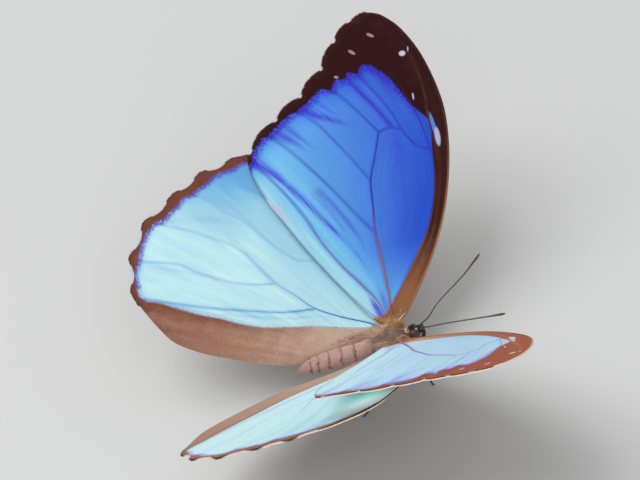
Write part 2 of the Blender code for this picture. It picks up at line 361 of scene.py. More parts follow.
@dataclass
class Tufts:
    """Thin tapering tufts, each a closed spike of seven corners that bends back to the skin."""

    roots: np.ndarray
    lie: np.ndarray  # the way that each tuft points, along the skin
    out: np.ndarray  # the skin's outward direction
    length: np.ndarray
    width: np.ndarray
    lift: np.ndarray  # degrees that a tuft stands off the skin at its root
    map_place: np.ndarray  # each root's place on the unwrap of the skin, 0 to 1
    flatness: float = 0.45

    # Seven corners: three at the root, three at the middle and the tip; -1 ends a triangle's row.
    FACES = np.array([[0, 1, 2, -1], [0, 2, 5, 3], [2, 1, 4, 5], [1, 0, 3, 4], [3, 5, 6, -1], [5, 4, 6, -1],
                      [4, 3, 6, -1]])
    PATCH = np.array([[0.0, 0.0], [1.0, 0.0], [0.5, 0.15], [0.1, 0.6], [0.9, 0.6], [0.5, 0.7], [0.5, 1.0]])

    def build(self, name: str, **paints: np.ndarray) -> bpy.types.Object:
        """Makes the tufts one mesh.

        Args:
            name: the object's name.
            paints: attributes, with a value or a place for each tuft.

        Returns:
            The object.
        """
        out = unit(self.out)
        lie = unit(self.lie - out * (self.lie * out).sum(axis=1)[:, None])
        across = np.cross(lie, out)
        rise = np.radians(self.lift)[:, None]
        long, wide = self.length[:, None], self.width[:, None] / 2
        middle = self.roots + (lie * np.cos(rise) + out * np.sin(rise)) * long * 0.5
        tip = middle + (lie * np.cos(rise * 0.35) + out * np.sin(rise * 0.35)) * long * 0.5
        corners = []
        for centre, share in ((self.roots - out * wide, 1.0), (middle, 0.8)):
            corners.append(centre + across * wide * share)
            corners.append(centre - across * wide * share)
            corners.append(centre + out * wide * share * self.flatness * 2)
        corners.append(tip)
        places = np.stack(corners, axis=1).reshape(-1, 3)
        first = np.arange(len(self.roots))[:, None, None] * len(self.PATCH)
        faces = np.where(self.FACES >= 0, self.FACES + first, -1).reshape(-1, 4)
        piece = mesh_object(name, to_metres(places), faces)
        for key, values in paints.items():
            paint(piece.data, key, np.repeat(values, len(self.PATCH), axis=0))
        self.unwrap(piece.data)
        piece.data.shade_smooth()
        return piece

    def unwrap(self, mesh: bpy.types.Mesh) -> None:
        """Gives each tuft its own small patch on the bake map, at its root's place."""
        patch = (self.PATCH - 0.5) * TUFT_PATCH
        places = (self.map_place * (1 - TUFT_PATCH) + TUFT_PATCH / 2)[:, None, :] + patch[None]
        lay_out(mesh, places.reshape(-1, 2)[corners_of(mesh)])


# ---------------------------------------------------------------- shader maths


class Value:
    """A number on a shader socket. Arithmetic on it adds Math nodes."""

    def __init__(self, graph: "Graph", socket: bpy.types.NodeSocket) -> None:
        """Wraps a socket of a graph."""
        self.graph, self.socket = graph, socket

    def math(self, operation: str, *others: "Value | float") -> "Value":
        """One Math node on this number and others, by the operation's name in Blender."""
        inputs = dict(enumerate((self, *others)))
        return Value(self.graph, self.graph.node("ShaderNodeMath", {"operation": operation}, inputs))

    def __add__(self, other: "Value | float") -> "Value":
        """self + other."""
        return self.math("ADD", other)

    __radd__ = __add__

    def __mul__(self, other: "Value | float") -> "Value":
        """self * other."""
        return self.math("MULTIPLY", other)

    __rmul__ = __mul__

    def __sub__(self, other: "Value | float") -> "Value":
        """self - other."""
        return self.math("SUBTRACT", other)

    def __rsub__(self, other: float) -> "Value":
        """other - self."""
        return (self * -1.0) + other

    def least(self, other: "Value | float") -> "Value":
        """The smaller of two numbers."""
        return self.math("MINIMUM", other)

    def most(self, other: "Value | float") -> "Value":
        """The larger of two numbers."""
        return self.math("MAXIMUM", other)

    def size(self) -> "Value":
        """The number without its sign."""
        return self.math("ABSOLUTE")

    def rise(self, low: float, high: float) -> "Value":
        """A smooth step from 0 at low to 1 at high; low may be the larger."""
        return Value(self.graph, self.graph.node(
            "ShaderNodeMapRange", {"interpolation_type": "SMOOTHSTEP"}, {0: self, 1: low, 2: high}))

    def band(self, centre: float, half: float) -> "Value":
        """A smooth bump round a number: 1 at its centre, 0 from a half width away."""
        return (self - centre).size().rise(half, 0.0)


class Graph:
    """The node tree of one material."""

    def __init__(self, name: str) -> None:
        """Starts a material with only its output node."""
        self.material = bpy.data.materials.new(name)
        self.material.use_nodes = True
        self.tree = self.material.node_tree
        self.tree.nodes.clear()
        self.output = self.tree.nodes.new("ShaderNodeOutputMaterial")

    def node(self, kind: str, settings: dict, inputs: dict, output: int = 0) -> bpy.types.NodeSocket:
        """Adds a node.

        Args:
            kind: its type.
            settings: its settings, or its stops under the name stops for a colour ramp.
            inputs: values or links, by the socket's name or number.
            output: the number of the output to return.

        Returns:
            That output socket.
        """
        made = self.tree.nodes.new(kind)
        for name, value in settings.items():
            if name == "stops":
                self.set_stops(made.color_ramp, value)
            else:
                setattr(made, name, value)
        for key, value in inputs.items():
            if isinstance(value, Value):
                value = value.socket
            if isinstance(value, bpy.types.NodeSocket):
                self.tree.links.new(value, made.inputs[key])
            elif isinstance(value, tuple) and len(made.inputs[key].default_value) == 4:
                made.inputs[key].default_value = (*value[:3], 1.0)
            else:
                made.inputs[key].default_value = value
        return made.outputs[output]

    @staticmethod
    def set_stops(ramp: bpy.types.ColorRamp, stops: Stops) -> None:
        """Sets a colour ramp's stops, each a place and a colour."""
        while len(ramp.elements) > 1:
            ramp.elements.remove(ramp.elements[-1])
        ramp.elements[0].position = stops[0][0]
        ramp.elements[0].color = (*stops[0][1], 1.0)
        for place, colour in stops[1:]:
            ramp.elements.new(place).color = (*colour, 1.0)

    def number(self, name: str) -> Value:
        """A painted number."""
        return Value(self, self.node("ShaderNodeAttribute", {"attribute_name": name}, {}, 2))

    def vector(self, name: str) -> bpy.types.NodeSocket:
        """A painted place."""
        return self.node("ShaderNodeAttribute", {"attribute_name": name}, {}, 1)

    def axes(self, vector: bpy.types.NodeSocket) -> tuple[Value, Value, Value]:
        """The three numbers of a vector."""
        made = self.tree.nodes.new("ShaderNodeSeparateXYZ")
        self.tree.links.new(vector, made.inputs[0])
        return tuple(Value(self, made.outputs[k]) for k in range(3))

    def stretched(self, vector: bpy.types.NodeSocket, scale: tuple, turn: float = 0.0,
                  centre: tuple = (0.0, 0.0, 0.0)) -> bpy.types.NodeSocket:
        """Coordinates for a pattern.

        Args:
            vector: the coordinates to start from.
            scale: the pattern's size along each axis.
            turn: its turn about z in degrees.
            centre: the place that becomes zero.

        Returns:
            The new coordinates.
        """
        inputs = {"Vector": vector, "Location": Vector(centre), "Scale": Vector(scale),
                  "Rotation": Vector((0.0, 0.0, math.radians(turn)))}
        return self.node("ShaderNodeMapping", {"vector_type": "TEXTURE"}, inputs)

    def noise(self, vector: bpy.types.NodeSocket, scale: float, detail: float = 2.0) -> Value:
        """Soft noise round 0.5."""
        inputs = {"Vector": vector, "Scale": scale, "Detail": detail}
        return Value(self, self.node("ShaderNodeTexNoise", {}, inputs))

    def ring(self, vector: bpy.types.NodeSocket, centre: Flat, half: Flat, turn: float = 0.0) -> Value:
        """How far a place is from an oval's centre: 1 on the oval itself."""
        near = self.stretched(vector, (*half, 1.0), turn, (*centre, 0.0))
        return Value(self, self.node("ShaderNodeVectorMath", {"operation": "LENGTH"}, {0: near}, 1))

    def spot(self, vector: bpy.types.NodeSocket, centre: Flat, half: Flat, turn: float = 0.0) -> Value:
        """A soft-edged oval spot: 1 inside and 0 outside."""
        return self.ring(vector, centre, half, turn).rise(1.15, 0.7)

    def grazing(self) -> Value:
        """A gloss that rises from 0 face on to 1 along the surface."""
        return Value(self, self.node("ShaderNodeLayerWeight", {}, {"Blend": 0.5}, 1)).rise(0.35, 0.95)

    def mix(self, factor: "Value | float", a: object, b: object, blend: str = "MIX") -> bpy.types.NodeSocket:
        """Mixes two colours."""
        settings = {"data_type": "RGBA", "blend_type": blend}
        return self.node("ShaderNodeMix", settings, {0: factor, 6: a, 7: b}, 2)

    def ramp(self, value: Value, stops: Stops) -> bpy.types.NodeSocket:
        """A colour looked up from a number."""
        return self.node("ShaderNodeValToRGB", {"stops": stops}, {0: value})

    def bump(self, height: Value, distance: float, strength: float = 1.0) -> bpy.types.NodeSocket:
        """A normal from a height in the given distance, in metres."""
        return self.node("ShaderNodeBump", {}, {"Height": height, "Distance": distance, "Strength": strength})

    def finish(self, **inputs: object) -> bpy.types.Material:
        """Ends the tree in a Principled shader, with words for its sockets' names."""
        named = {key.replace("_", " "): value for key, value in inputs.items()}
        shader = self.node("ShaderNodeBsdfPrincipled", {}, named)
        self.tree.links.new(shader, self.output.inputs[0])
        return self.material


@dataclass(frozen=True)
class WingTop:
    """The upper face of a wing: blue scales that deepen across it, with a brown margin."""

    name: str
    blues: Stops  # over the painted number shade, 0 to 1
    violet: Colour = (0.060, 0.040, 0.66)
    stream: Colour = (0.060, 0.040, 0.66)  # the streaks between and along the veins
    glow: float = 0.85
    rimmed: float = 1.9  # how far the violet reaches in from the brown, in millimetres
    fibrous: float = 0.14
    ink: Colour = (0.020, 0.055, 0.46)  # the scales along a vein
    inked: float = 0.35
    browns: Stops = ()  # over the painted number warm
    tan: Colour = (0.36, 0.14, 0.06)
    sheens: tuple = ((0.70, 0.98, 1.0), (0.68, 0.17, 0.065), (0.36, 0.60, 1.0))  # blue, brown and deep blue
    lilac: Colour = (0.26, 0.15, 0.90)  # painted sheen: violet seen along the surface
    navy: Colour = (0.012, 0.012, 0.22)  # stray dark scales by the margin
    flame: Colour = (0.80, 0.36, 0.15)  # painted sheen: the tan lines and warm browns seen along the surface
    mottled: float = 0.15
    soft: float = 0.14  # half the width of the brown's edge
    through: tuple = (BLACK, BLACK)  # painted light in the shadow of the wing over it, near and far
    spots: tuple = ()
    ragged: float = 0.34  # how far scales stray over the edge of the brown, in millimetres
    seam: Colour = (0.05, 0.03, 0.07)  # the dark line along the inner edge

    def make(self) -> bpy.types.Material:
        """The material."""
        g = Graph(self.name)
        place, fan = g.vector("place"), g.vector("fan")
        fine, grain = g.noise(place, 5.0, 3.0), g.noise(place, 1.7, 3.0)
        cloud, fibre = g.noise(place, 0.35, 3.0), g.noise(fan, 1.0, 3.0)
        gloss, outer = g.grazing(), g.number("violet")
        blue = g.ramp(g.number("shade") + (fibre - 0.5) * self.fibrous + (grain - 0.5) * 0.05, self.blues)
        blue = g.mix(fine.rise(0.35, 0.75) * 0.2, blue, (0.75, 0.9, 1.0), "OVERLAY")
        glow = (g.number("glow") * (0.55 + fibre.rise(0.32, 0.64) * 0.75)).least(1.0)
        blue = g.mix(glow * self.glow, blue, self.stream)
        blue = g.mix(g.number("vein").rise(0.5, 0.08) * self.inked, blue, self.ink)
        stray = outer * self.ragged
        edge = g.number("border") + (grain - 0.5) * (stray * 2.4 + 0.12) + (fine - 0.5) * (stray * 3.6 + 0.2)
        edge = edge + g.number("vein").rise(0.9, 0.0) * stray * 1.2
        rimmed = edge.rise(-self.rimmed, -0.1 * self.rimmed) * outer * (grain.rise(0.3, 0.55) * 0.6 + 0.4)
        blue = g.mix(rimmed, blue, self.violet)
        blue = g.mix(rimmed * fine.rise(0.46, 0.58) * 0.8, blue, self.navy)
        # Painted sheen: seen along the surface, the blue pales and the brown and tan turn orange.
        sheen = g.mix(g.number("shade") * 0.3, self.sheens[0], self.sheens[2])
        blue = g.mix(gloss * 0.92, blue, g.mix((glow * 0.3).most(rimmed * 0.8), sheen, self.lilac))
        warm, tan = g.number("warm"), g.number("tan")
        brown = warm + (fibre - 0.5) * self.mottled + (cloud - 0.5 + (grain - 0.5) * 0.8) * self.mottled
        brown = g.mix(tan * (fibre.rise(0.3, 0.65) * 0.7 + 0.4), g.ramp(brown, self.browns), self.tan)
        brown = g.mix(gloss * 0.6, brown, g.mix(warm.rise(0.05, 0.6), self.sheens[1], self.flame))
        brown = g.mix((tan * gloss * 1.3).least(1.0), brown, self.flame)
        mask = edge.rise(-self.soft, self.soft)
        colour = g.mix(mask, blue, brown)
        colour = g.mix(g.number("seam") * 0.85, colour, self.seam)
        for centre, half, turn, tint in self.spots:
            wet = g.spot(place, centre, half, turn) * (fine.rise(0.2, 0.5) * 0.3 + 0.65)
            # Painted sheen: the spots pale along the surface.
            colour = g.mix(wet, colour, g.mix(gloss * 0.7, tint, WHITE))
        waves = {"Vector": place, "Scale": 1.6, "Distortion": 0.6, "Detail": 1.0, "Detail Scale": 3.0}
        rows = g.node("ShaderNodeTexWave", {"bands_direction": "X"}, waves, 1)
        height = Value(g, rows) * 0.3 + fine * 0.7 + fibre * 0.8
        # Painted light: off the brown, a glow that lightens the shadow cast by the wing over this one.
        lit = g.mix(g.axes(place)[0].rise(28, 36), self.through[0], self.through[1])
        lit = g.mix(g.number("lit") * (1 - mask), BLACK, lit)
        return g.finish(Base_Color=colour, Metallic=(1 - mask) * (1 - gloss) * 0.25,
                        Roughness=fine * 0.12 + 0.4, Specular_IOR_Level=0.03, Emission_Color=lit,
                        Emission_Strength=1.0, Sheen_Weight=0.02, Sheen_Roughness=0.4,
                        Sheen_Tint=(0.85, 0.92, 1.0), Normal=g.bump(height, 0.00004, 0.6))


@dataclass(frozen=True)
class WingUnder:
    """The under face of a wing: brown, with pale bars, lines along the margin and eye-spots."""

    name: str
    eyes: tuple  # each ((u, v), radius)
    bars: tuple  # each ((u, v), (half length, half width), turn)
    ground: Colour = (0.115, 0.062, 0.040)
    pale: Colour = (0.42, 0.33, 0.25)
    rust: Colour = (0.30, 0.10, 0.045)
    # An eye-spot's colours from its centre out: white, black, red-brown, yellow and black.
    rings: Stops = ((0.0, (0.80, 0.80, 0.78)), (0.09, (0.80, 0.80, 0.78)), (0.14, (0.02, 0.02, 0.03)),
                    (0.40, (0.035, 0.03, 0.05)), (0.47, (0.16, 0.03, 0.02)), (0.60, (0.20, 0.045, 0.025)),
                    (0.66, (0.62, 0.40, 0.10)), (0.82, (0.62, 0.42, 0.12)), (0.87, (0.02, 0.012, 0.010)),
                    (0.97, (0.02, 0.012, 0.010)))

    def make(self) -> bpy.types.Material:
        """The material."""
        g = Graph(self.name)
        place, rim = g.vector("place"), g.number("rim")
        rough = g.noise(place, 1.3, 4.0)
        fine = g.noise(place, 6.0, 3.0)
        colour = g.mix(rough.rise(0.35, 0.7), self.ground, (0.18, 0.10, 0.062))
        for centre, half, turn in self.bars:
            colour = g.mix(g.spot(place, centre, half, turn) * (0.25 + rough), colour, self.pale)
        wavy = rim + (rough - 0.5) * 0.5
        colour = g.mix(wavy.band(1.5, 0.6) * 0.75, colour, self.rust)
        colour = g.mix(wavy.band(3.0, 0.7) * 0.7, colour, self.pale)
        colour = g.mix(wavy.band(5.2, 0.9) * 0.5, colour, (0.05, 0.028, 0.022))
        rings = [g.ring(place, centre, (radius, radius)) for centre, radius in self.eyes]
        ring = functools.reduce(Value.least, rings) + (fine - 0.5) * 0.10
        spot = g.ramp(ring.least(1.0), (*self.rings, (1.0, self.ground)))
        colour = g.mix(ring.rise(1.05, 0.97), colour, spot)
        colour = g.mix(fine.rise(0.4, 0.8) * 0.3, colour, (0.5, 0.42, 0.34), "OVERLAY")
        return g.finish(Base_Color=colour, Roughness=fine * 0.2 + 0.5, Specular_IOR_Level=0.3,
                        Sheen_Weight=0.2, Sheen_Roughness=0.5, Normal=g.bump(fine, 0.00003, 0.6))


@dataclass(frozen=True)
class VeinFinish:
    """The veins: dark blue over the blue of the wing, red near the body, brown where the wing is brown."""

    name: str
    base: Colour
    tip: Colour
    browns: tuple[Colour, Colour] = ((0.30, 0.12, 0.055), (0.050, 0.016, 0.012))
    under: Colour = (0.07, 0.03, 0.02)
    soft: Colour = (0.05, 0.17, 0.60)

    def make(self) -> bpy.types.Material:
        """The material."""
        g = Graph(self.name)
        grain = g.noise(g.vector("place"), 3.0, 2.0)
        reach = g.number("reach") + (grain - 0.5) * 0.3
        colour = g.mix(reach.rise(0.24, 0.6), self.base, g.mix(g.number("pale"), self.tip, self.soft))
        brown = g.mix(reach.rise(0.2, 0.8), self.browns[0], self.browns[1])
        colour = g.mix(g.number("border").rise(-0.2, 0.3), colour, brown)
        # Painted sheen: the veins of the right wing, seen along its surface, turn lilac.
        colour = g.mix(g.number("turned") * 0.45, colour, (0.62, 0.34, 0.60))
        colour = g.mix(g.number("under"), colour, self.under)
        return g.finish(Base_Color=colour, Roughness=0.5, Specular_IOR_Level=0.2,
                        Normal=g.bump(grain, 0.00002, 0.4))


@dataclass(frozen=True)
class HemFinish:
    """The front edge: orange-brown above, cream below and towards the tip, partly a painted highlight."""

    name: str
    top: Colour = (0.36, 0.14, 0.062)
    dark: Colour = (0.062, 0.020, 0.014)
    cream: Colour = (0.92, 0.80, 0.68)

    def make(self) -> bpy.types.Material:
        """The material."""
        g = Graph(self.name)
        u, _, _ = g.axes(g.vector("place"))
        grain = g.noise(g.vector("place"), 2.0, 3.0)
        colour = g.mix((u + grain * 12).rise(22, 46), self.top, self.dark)
        # Painted sheen: orange along the surface.
        colour = g.mix(g.grazing().rise(0.7, 1.0) * 0.7, colour, (0.72, 0.34, 0.16))
        # Painted highlight: cream towards the tip of the right wing's hem, which is seen along its surface.
        colour = g.mix(g.number("turned") * u.rise(42, 54) * 0.9, colour, self.cream)
        colour = g.mix(g.number("under") * (u.rise(18, 44) * 0.75 + 0.2), colour, self.cream)
        return g.finish(Base_Color=colour, Roughness=0.5, Specular_IOR_Level=0.2)


@dataclass(frozen=True)
class FringeFinish:
    """The fringe: cream in the bays of the margin and along its under layer, brown on its points."""

    name: str
    dark: Colour = (0.075, 0.024, 0.018)
    cream: Colour = (0.76, 0.73, 0.76)
    lit: Colour = (0.34, 0.27, 0.21)  # painted light: a glow on the under layer, in place of light through it

    def make(self) -> bpy.types.Material:
        """The material."""
        g = Graph(self.name)
        shade, under = g.number("shade"), g.number("under")
        # Painted sheen: the brown points turn orange along the surface.
        dark = g.mix(g.grazing() * 0.6, self.dark, (0.52, 0.15, 0.07))
        colour = g.mix((g.number("cream") + (shade - 0.5) * 0.35).rise(0.35, 0.65), dark, self.cream)
        colour = g.mix(under, colour, (0.95, 0.82, 0.70))
        # Painted light: the under layer glows.
        glow = g.mix(under * (shade * 0.3 + 0.7), BLACK, self.lit)
        return g.finish(Base_Color=colour, Emission_Color=glow, Emission_Strength=1.0, Roughness=0.6,
                        Specular_IOR_Level=0.2)


@dataclass(frozen=True)
class HairFinish:
    """The body's colours, for its skin and for the coat over it."""

    name: str
    rough: float = 0.55
    bumpy: float = 0.0  # the height of the skin's grain in metres, or 0 for the coat

    @staticmethod
    def colour(g: Graph) -> bpy.types.NodeSocket:
        """The markings, with painted light under the abdomen, from each place's x, f and z on the body.

        Args:
            g: the graph to draw in.

        Returns:
            The colour.
        """
        place = g.vector("place")
        x, f, z = g.axes(place)
        rough, fine = g.noise(place, 0.9, 3.0), g.noise(place, 4.0, 2.0)
        taupe = g.mix((f + rough * 3.0).rise(-20.5, -15.0), (0.60, 0.39, 0.35), (0.88, 0.60, 0.52))
        for at in BODY_RINGS:
            mark = (f + (rough - 0.5) * 1.2 + x * x * 0.16).band(at, 0.28) * (fine * 0.8 + 0.45)
            taupe = g.mix(mark.least(1.0), taupe, (0.27, 0.145, 0.125))
        # Painted light: the abdomen lighter underneath, against its shade.
        taupe = g.mix(z.rise(-2.4, -3.6) * 0.6, taupe, (0.88, 0.66, 0.56))
        fur = g.mix(rough.rise(0.3, 0.7), (0.39, 0.245, 0.185), (0.60, 0.405, 0.33))
        gold = (x + (rough - 0.5) * 1.0).rise(1.2, 1.9).most((x * -1 + rough).rise(2.4, 3.2))
        fur = g.mix(gold * f.rise(-3.5, -1.0) * 0.85, fur, (0.78, 0.44, 0.19))
        collar = (f + (rough - 0.5) * 0.8).rise(0.9, 1.8) * z.rise(-2.6, -1.2)
        fur = g.mix(collar * 0.75, fur, (0.46, 0.235, 0.12))
        body = g.mix((f + (rough - 0.5) * 1.5).rise(-5.6, -4.2), taupe, fur)
        head = g.mix(fine.rise(0.4, 0.7), (0.048, 0.028, 0.022), (0.135, 0.080, 0.060))
        return g.mix((f + (fine - 0.5) * 0.3).rise(2.25, 2.55), body, head)

    def make(self) -> bpy.types.Material:
        """The material."""
        g = Graph(self.name)
        colour = self.colour(g)
        fine = g.noise(g.vector("place"), 7.0, 3.0)
        if self.bumpy:
            colour = g.mix(fine * 0.6, colour, (0.4, 0.36, 0.33), "MULTIPLY")
            return g.finish(Base_Color=colour, Roughness=0.8, Specular_IOR_Level=0.2,
                            Normal=g.bump(fine, self.bumpy, 1.0))
        shade = g.number("shade")
        colour = g.mix(shade.rise(0.0, 1.0) * 0.45, colour, (0.46, 0.40, 0.36), "MULTIPLY")
        colour = g.mix(g.number("pale"), colour, (1.0, 0.86, 0.60))
        return g.finish(Base_Color=colour, Roughness=self.rough, Specular_IOR_Level=0.25,
                        Sheen_Weight=0.1, Sheen_Roughness=0.4)


@dataclass(frozen=True)
class TuftFinish:
    """Hair on wing bases, shoulders and palps, in a range of colours."""

    name: str
    colours: Stops

    def make(self) -> bpy.types.Material:
        """The material."""
        g = Graph(self.name)
        return g.finish(Base_Color=g.ramp(g.number("shade"), self.colours), Roughness=0.5,
                        Specular_IOR_Level=0.3, Sheen_Weight=0.1)


@dataclass(frozen=True)
class EyeFinish:
    """The facets of an eye: a dark brown gloss with a fine net."""

    name: str = "eye_facets_gloss"

    def make(self) -> bpy.types.Material:
        """The material."""
        g = Graph(self.name)
        place = g.vector("place")
        net = Value(g, g.node("ShaderNodeTexVoronoi", {"feature": "DISTANCE_TO_EDGE"},
                              {"Vector": place, "Scale": 9.0, "Randomness": 0.35}))
        cloud = g.noise(place, 1.2, 2.0)
        colour = g.mix(cloud.rise(0.3, 0.7), (0.040, 0.021, 0.018), (0.15, 0.075, 0.058))
        colour = g.mix(net.rise(0.10, 0.0) * 0.5, colour, (0.006, 0.004, 0.004))
        return g.finish(Base_Color=colour, Roughness=cloud * 0.08 + 0.30, Specular_IOR_Level=0.3,
                        Coat_Weight=0.25, Coat_Roughness=0.22,
                        Normal=g.bump(net.rise(0.0, 0.25), 0.00001, 0.6))


@dataclass(frozen=True)
class ShellFinish:
    """Dark horn with fine scales, as on legs and feelers, with pale rings if it has any."""

    name: str
    dark: Colour = (0.022, 0.015, 0.012)
    light: Colour = (0.070, 0.046, 0.034)
    pale: Colour = (0.34, 0.29, 0.24)
    rings: float = 0.0

    def make(self) -> bpy.types.Material:
        """The material."""
        g = Graph(self.name)
        place, along = g.vector("place"), g.number("along")
        grain = g.noise(place, 4.0, 3.0)
        colour = g.mix(grain.rise(0.35, 0.7), self.dark, self.light)
        height = grain
        if self.rings:
            phase = (along * self.rings).math("FRACT")
            colour = g.mix(phase.band(0.5, 0.28) * (grain.rise(0.35, 0.6) * 0.5 + 0.15), colour, self.pale)
            height = grain * 0.4 + phase.band(0.0, 0.25) * -0.8
        return g.finish(Base_Color=colour, Roughness=grain * 0.15 + 0.38, Specular_IOR_Level=0.45,
                        Normal=g.bump(height, 0.00004, 0.7))


@dataclass(frozen=True)
class FloorFinish:
    """A plain pale floor."""

    colour: Colour = (0.72, 0.72, 0.70)

    def make(self) -> bpy.types.Material:
        """The material."""
        g = Graph("plain_floor")
        return g.finish(Base_Color=self.colour, Roughness=0.85, Specular_IOR_Level=0.2)


# ---------------------------------------------------------------- wings

MARGIN_STEPS = 2000
FRINGE_COUNT = 1500
FRINGE_LAYERS = ((0.42, 0.13, -4.0, 0.03), (0.42, 0.2, -72.0, -0.03))  # length, width, lift and height


@dataclass
class Vein:
    """A vein: its places on the wing, and its radius at both ends."""

    line: Sequence[Flat]
    start: float = 0.16
    end: float = 0.09
    glow: float = 0.35  # how strongly the scales beside it are violet
    spread: float = 0.7  # how far that reaches
    pale: float = 0.0  # how much it takes the colour of the scales round it


@dataclass
class Streak:
    """A violet streak between veins, widening towards the margin."""

    line: Sequence[Flat]
    width: float
    strength: float


@dataclass
class Wing:
    """What the forewings and hindwings share."""

    kind: str
    slot: str
    roots: dict
    turns: dict  # dihedral, pitch and sweep in degrees
    veins: Sequence[Vein]
    streaks: Sequence[Streak]
    top: WingTop
    under: WingUnder
    vein_finish: VeinFinish
    stations: int = 250
    rows: int = 125
    thickness: float = 0.17
    pleat: float = 0.10  # how far the membrane sinks between its veins
    fields: dict = field(default_factory=dict)
    grid: np.ndarray = None

    def edges(self) -> tuple[np.ndarray, np.ndarray]:
        """The front and the rear edge, with equal numbers of places."""
        raise NotImplementedError

    def margin(self) -> np.ndarray:
        """The outer margin, which bears the fringe."""
        raise NotImplementedError

    def hang(self, u: np.ndarray, v: np.ndarray) -> np.ndarray:
        """How far each place stands off the wing's plane."""
        raise NotImplementedError

    def colour_fields(self, places: np.ndarray) -> dict:
        """The wing's own painted numbers."""
        raise NotImplementedError

    def bays(self) -> np.ndarray:
        """The places of the margin's bays, where the fringe is cream."""
        raise NotImplementedError

    def hemmed(self, places: np.ndarray) -> np.ndarray:
        """How cream the under layer of the fringe is at places of the margin, 0 to 1."""
        return np.ones(len(places))

    def placed(self, side: Side, flat: np.ndarray, height: np.ndarray) -> np.ndarray:
        """Puts places of the wing's plane where they are on the butterfly.

        Args:
            side: the wing's side.
            flat: places (u, v).
            height: how far above the plane each one is.

        Returns:
            Places (x, f, z).
        """
        dihedral, pitch, sweep = (math.radians(a) for a in self.turns[side])
        turned = Matrix.Rotation(-dihedral, 3, "Y") @ Matrix.Rotation(pitch, 3, "X")
        turned = np.array(turned @ Matrix.Rotation(sweep, 3, "Z"))
        local = np.column_stack([flat[:, 0], -flat[:, 1], height]) @ turned.T
        x, f, z = self.roots[side]
        return np.column_stack([(local[:, 0] + x) * side.sign, f - local[:, 1], local[:, 2] + z])

    def surface(self, side: Side, flat: np.ndarray, above: np.ndarray | float = 0.0) -> np.ndarray:
        """Places of the plane put on the wing's curved face, some way above it."""
        return self.placed(side, flat, self.hang(flat[:, 0], flat[:, 1]) + above)

    def prepare(self) -> None:
        """Works out the grid of places and what is painted on it, once for both sides."""
        front, rear = self.edges()
        share = np.linspace(0, 1, self.rows + 1)[:, None, None]
        self.grid = (front[None] * (1 - share) + rear[None] * share).reshape(-1, 2)
        gap, glow = np.full(len(self.grid), np.inf), np.zeros(len(self.grid))
        fan = np.zeros((len(self.grid), 3))  # a place beside its nearest vein, for fibres that run along it
        for k, vein in enumerate(self.veins):
            line = curve_through(vein.line, 8)
            far, along = distance_to(line, self.grid)
            near = far < gap
            forward = along * lengths_along(line)[-1] * 0.075
            beside = np.column_stack([far * 1.9 + k * 7.3, forward, np.full(len(far), k)])
            fan[near] = beside[near]
            gap = np.minimum(gap, far)
            glow = np.maximum(glow, vein.glow * np.exp(-(far / vein.spread) ** 2))
        for streak in self.streaks:
            far, along = distance_to(curve_through(streak.line, 8), self.grid)
            wide = streak.width * (0.25 + 0.75 * along)
            strength = streak.strength * np.minimum(1, 0.2 + along * 1.6)
            glow = np.maximum(glow, strength * np.exp(-(far / wide) ** 2))
        rim, _ = distance_to(self.margin(), self.grid)
        self.fields = {"vein": gap, "glow": glow, "rim": rim, "fan": fan, **self.colour_fields(self.grid)}

    def build(self, side: Side, looks: dict) -> None:
        """Builds one wing of the pair, with its veins, its front hem and its fringe."""
        self.build_membrane(side, looks)
        self.build_veins(side, looks)
        self.build_hem(side, looks)
        self.build_fringe(side, looks)

    def mark(self, mesh: bpy.types.Mesh, side: Side, flat: np.ndarray, above: float = 0.0) -> None:
        """Paints where the vertices are on the wing's plane, and which of them are on its under side.

        Args:
            mesh: a mesh that lies along the wing.
            side: the wing's side.
            flat: the place (u, v) of each vertex.
            above: how far above the wing's face the under side begins.
        """
        low, high = self.placed(side, np.zeros((2, 2)), np.array([0.0, 1.0]))
        over = places_of(mesh) - to_metres(self.surface(side, flat, above))
        paint(mesh, "place", np.column_stack([flat, np.zeros(len(flat))]))
        paint(mesh, "under", (over @ ((high - low) * PACKED) < 0).astype(float))
        # Which wing is the right one: it is seen along its surface and gets the painted sheen and highlight
        # on its veins and hem.
        paint(mesh, "turned", np.full(len(flat), float(side is Side.RIGHT)))

    def build_hem(self, side: Side, looks: dict) -> None:
        """The thickened front edge, pale underneath."""
        line = even(curve_through(self.costa), 120)
        share = np.linspace(0, 1, len(line))
        piece = tube(f"{self.kind}_hem_{side.value}", self.surface(side, line, -0.06), 0.20 - 0.06 * share, 8)
        near, _ = nearest(places_of(piece.data), to_metres(self.surface(side, line, -0.04)))
        self.mark(piece.data, side, line[near], -0.04)
        add_piece(piece, [f"{self.kind}_{side.value}"], self.slot, looks[HEM])

    def build_membrane(self, side: Side, looks: dict) -> None:
        """The membrane: a grid fitted to the outline, pleated between the veins and given its thickness."""
        select_none()
        bpy.ops.mesh.primitive_grid_add(x_subdivisions=self.stations, y_subdivisions=self.rows, size=2)
        piece = added(f"{self.kind}_membrane_{side.value}")
        vein, rim = self.fields["vein"], self.fields["rim"]
        sunk = -self.pleat * (1 - np.exp(-(vein / 1.3) ** 2)) * np.minimum(rim / 2, 1)
        set_places(piece.data, to_metres(self.surface(side, self.grid, sunk)))
        paint(piece.data, "place", np.column_stack([self.grid, np.zeros(len(self.grid))]))
        for name, values in self.fields.items():
            paint(piece.data, name, values)
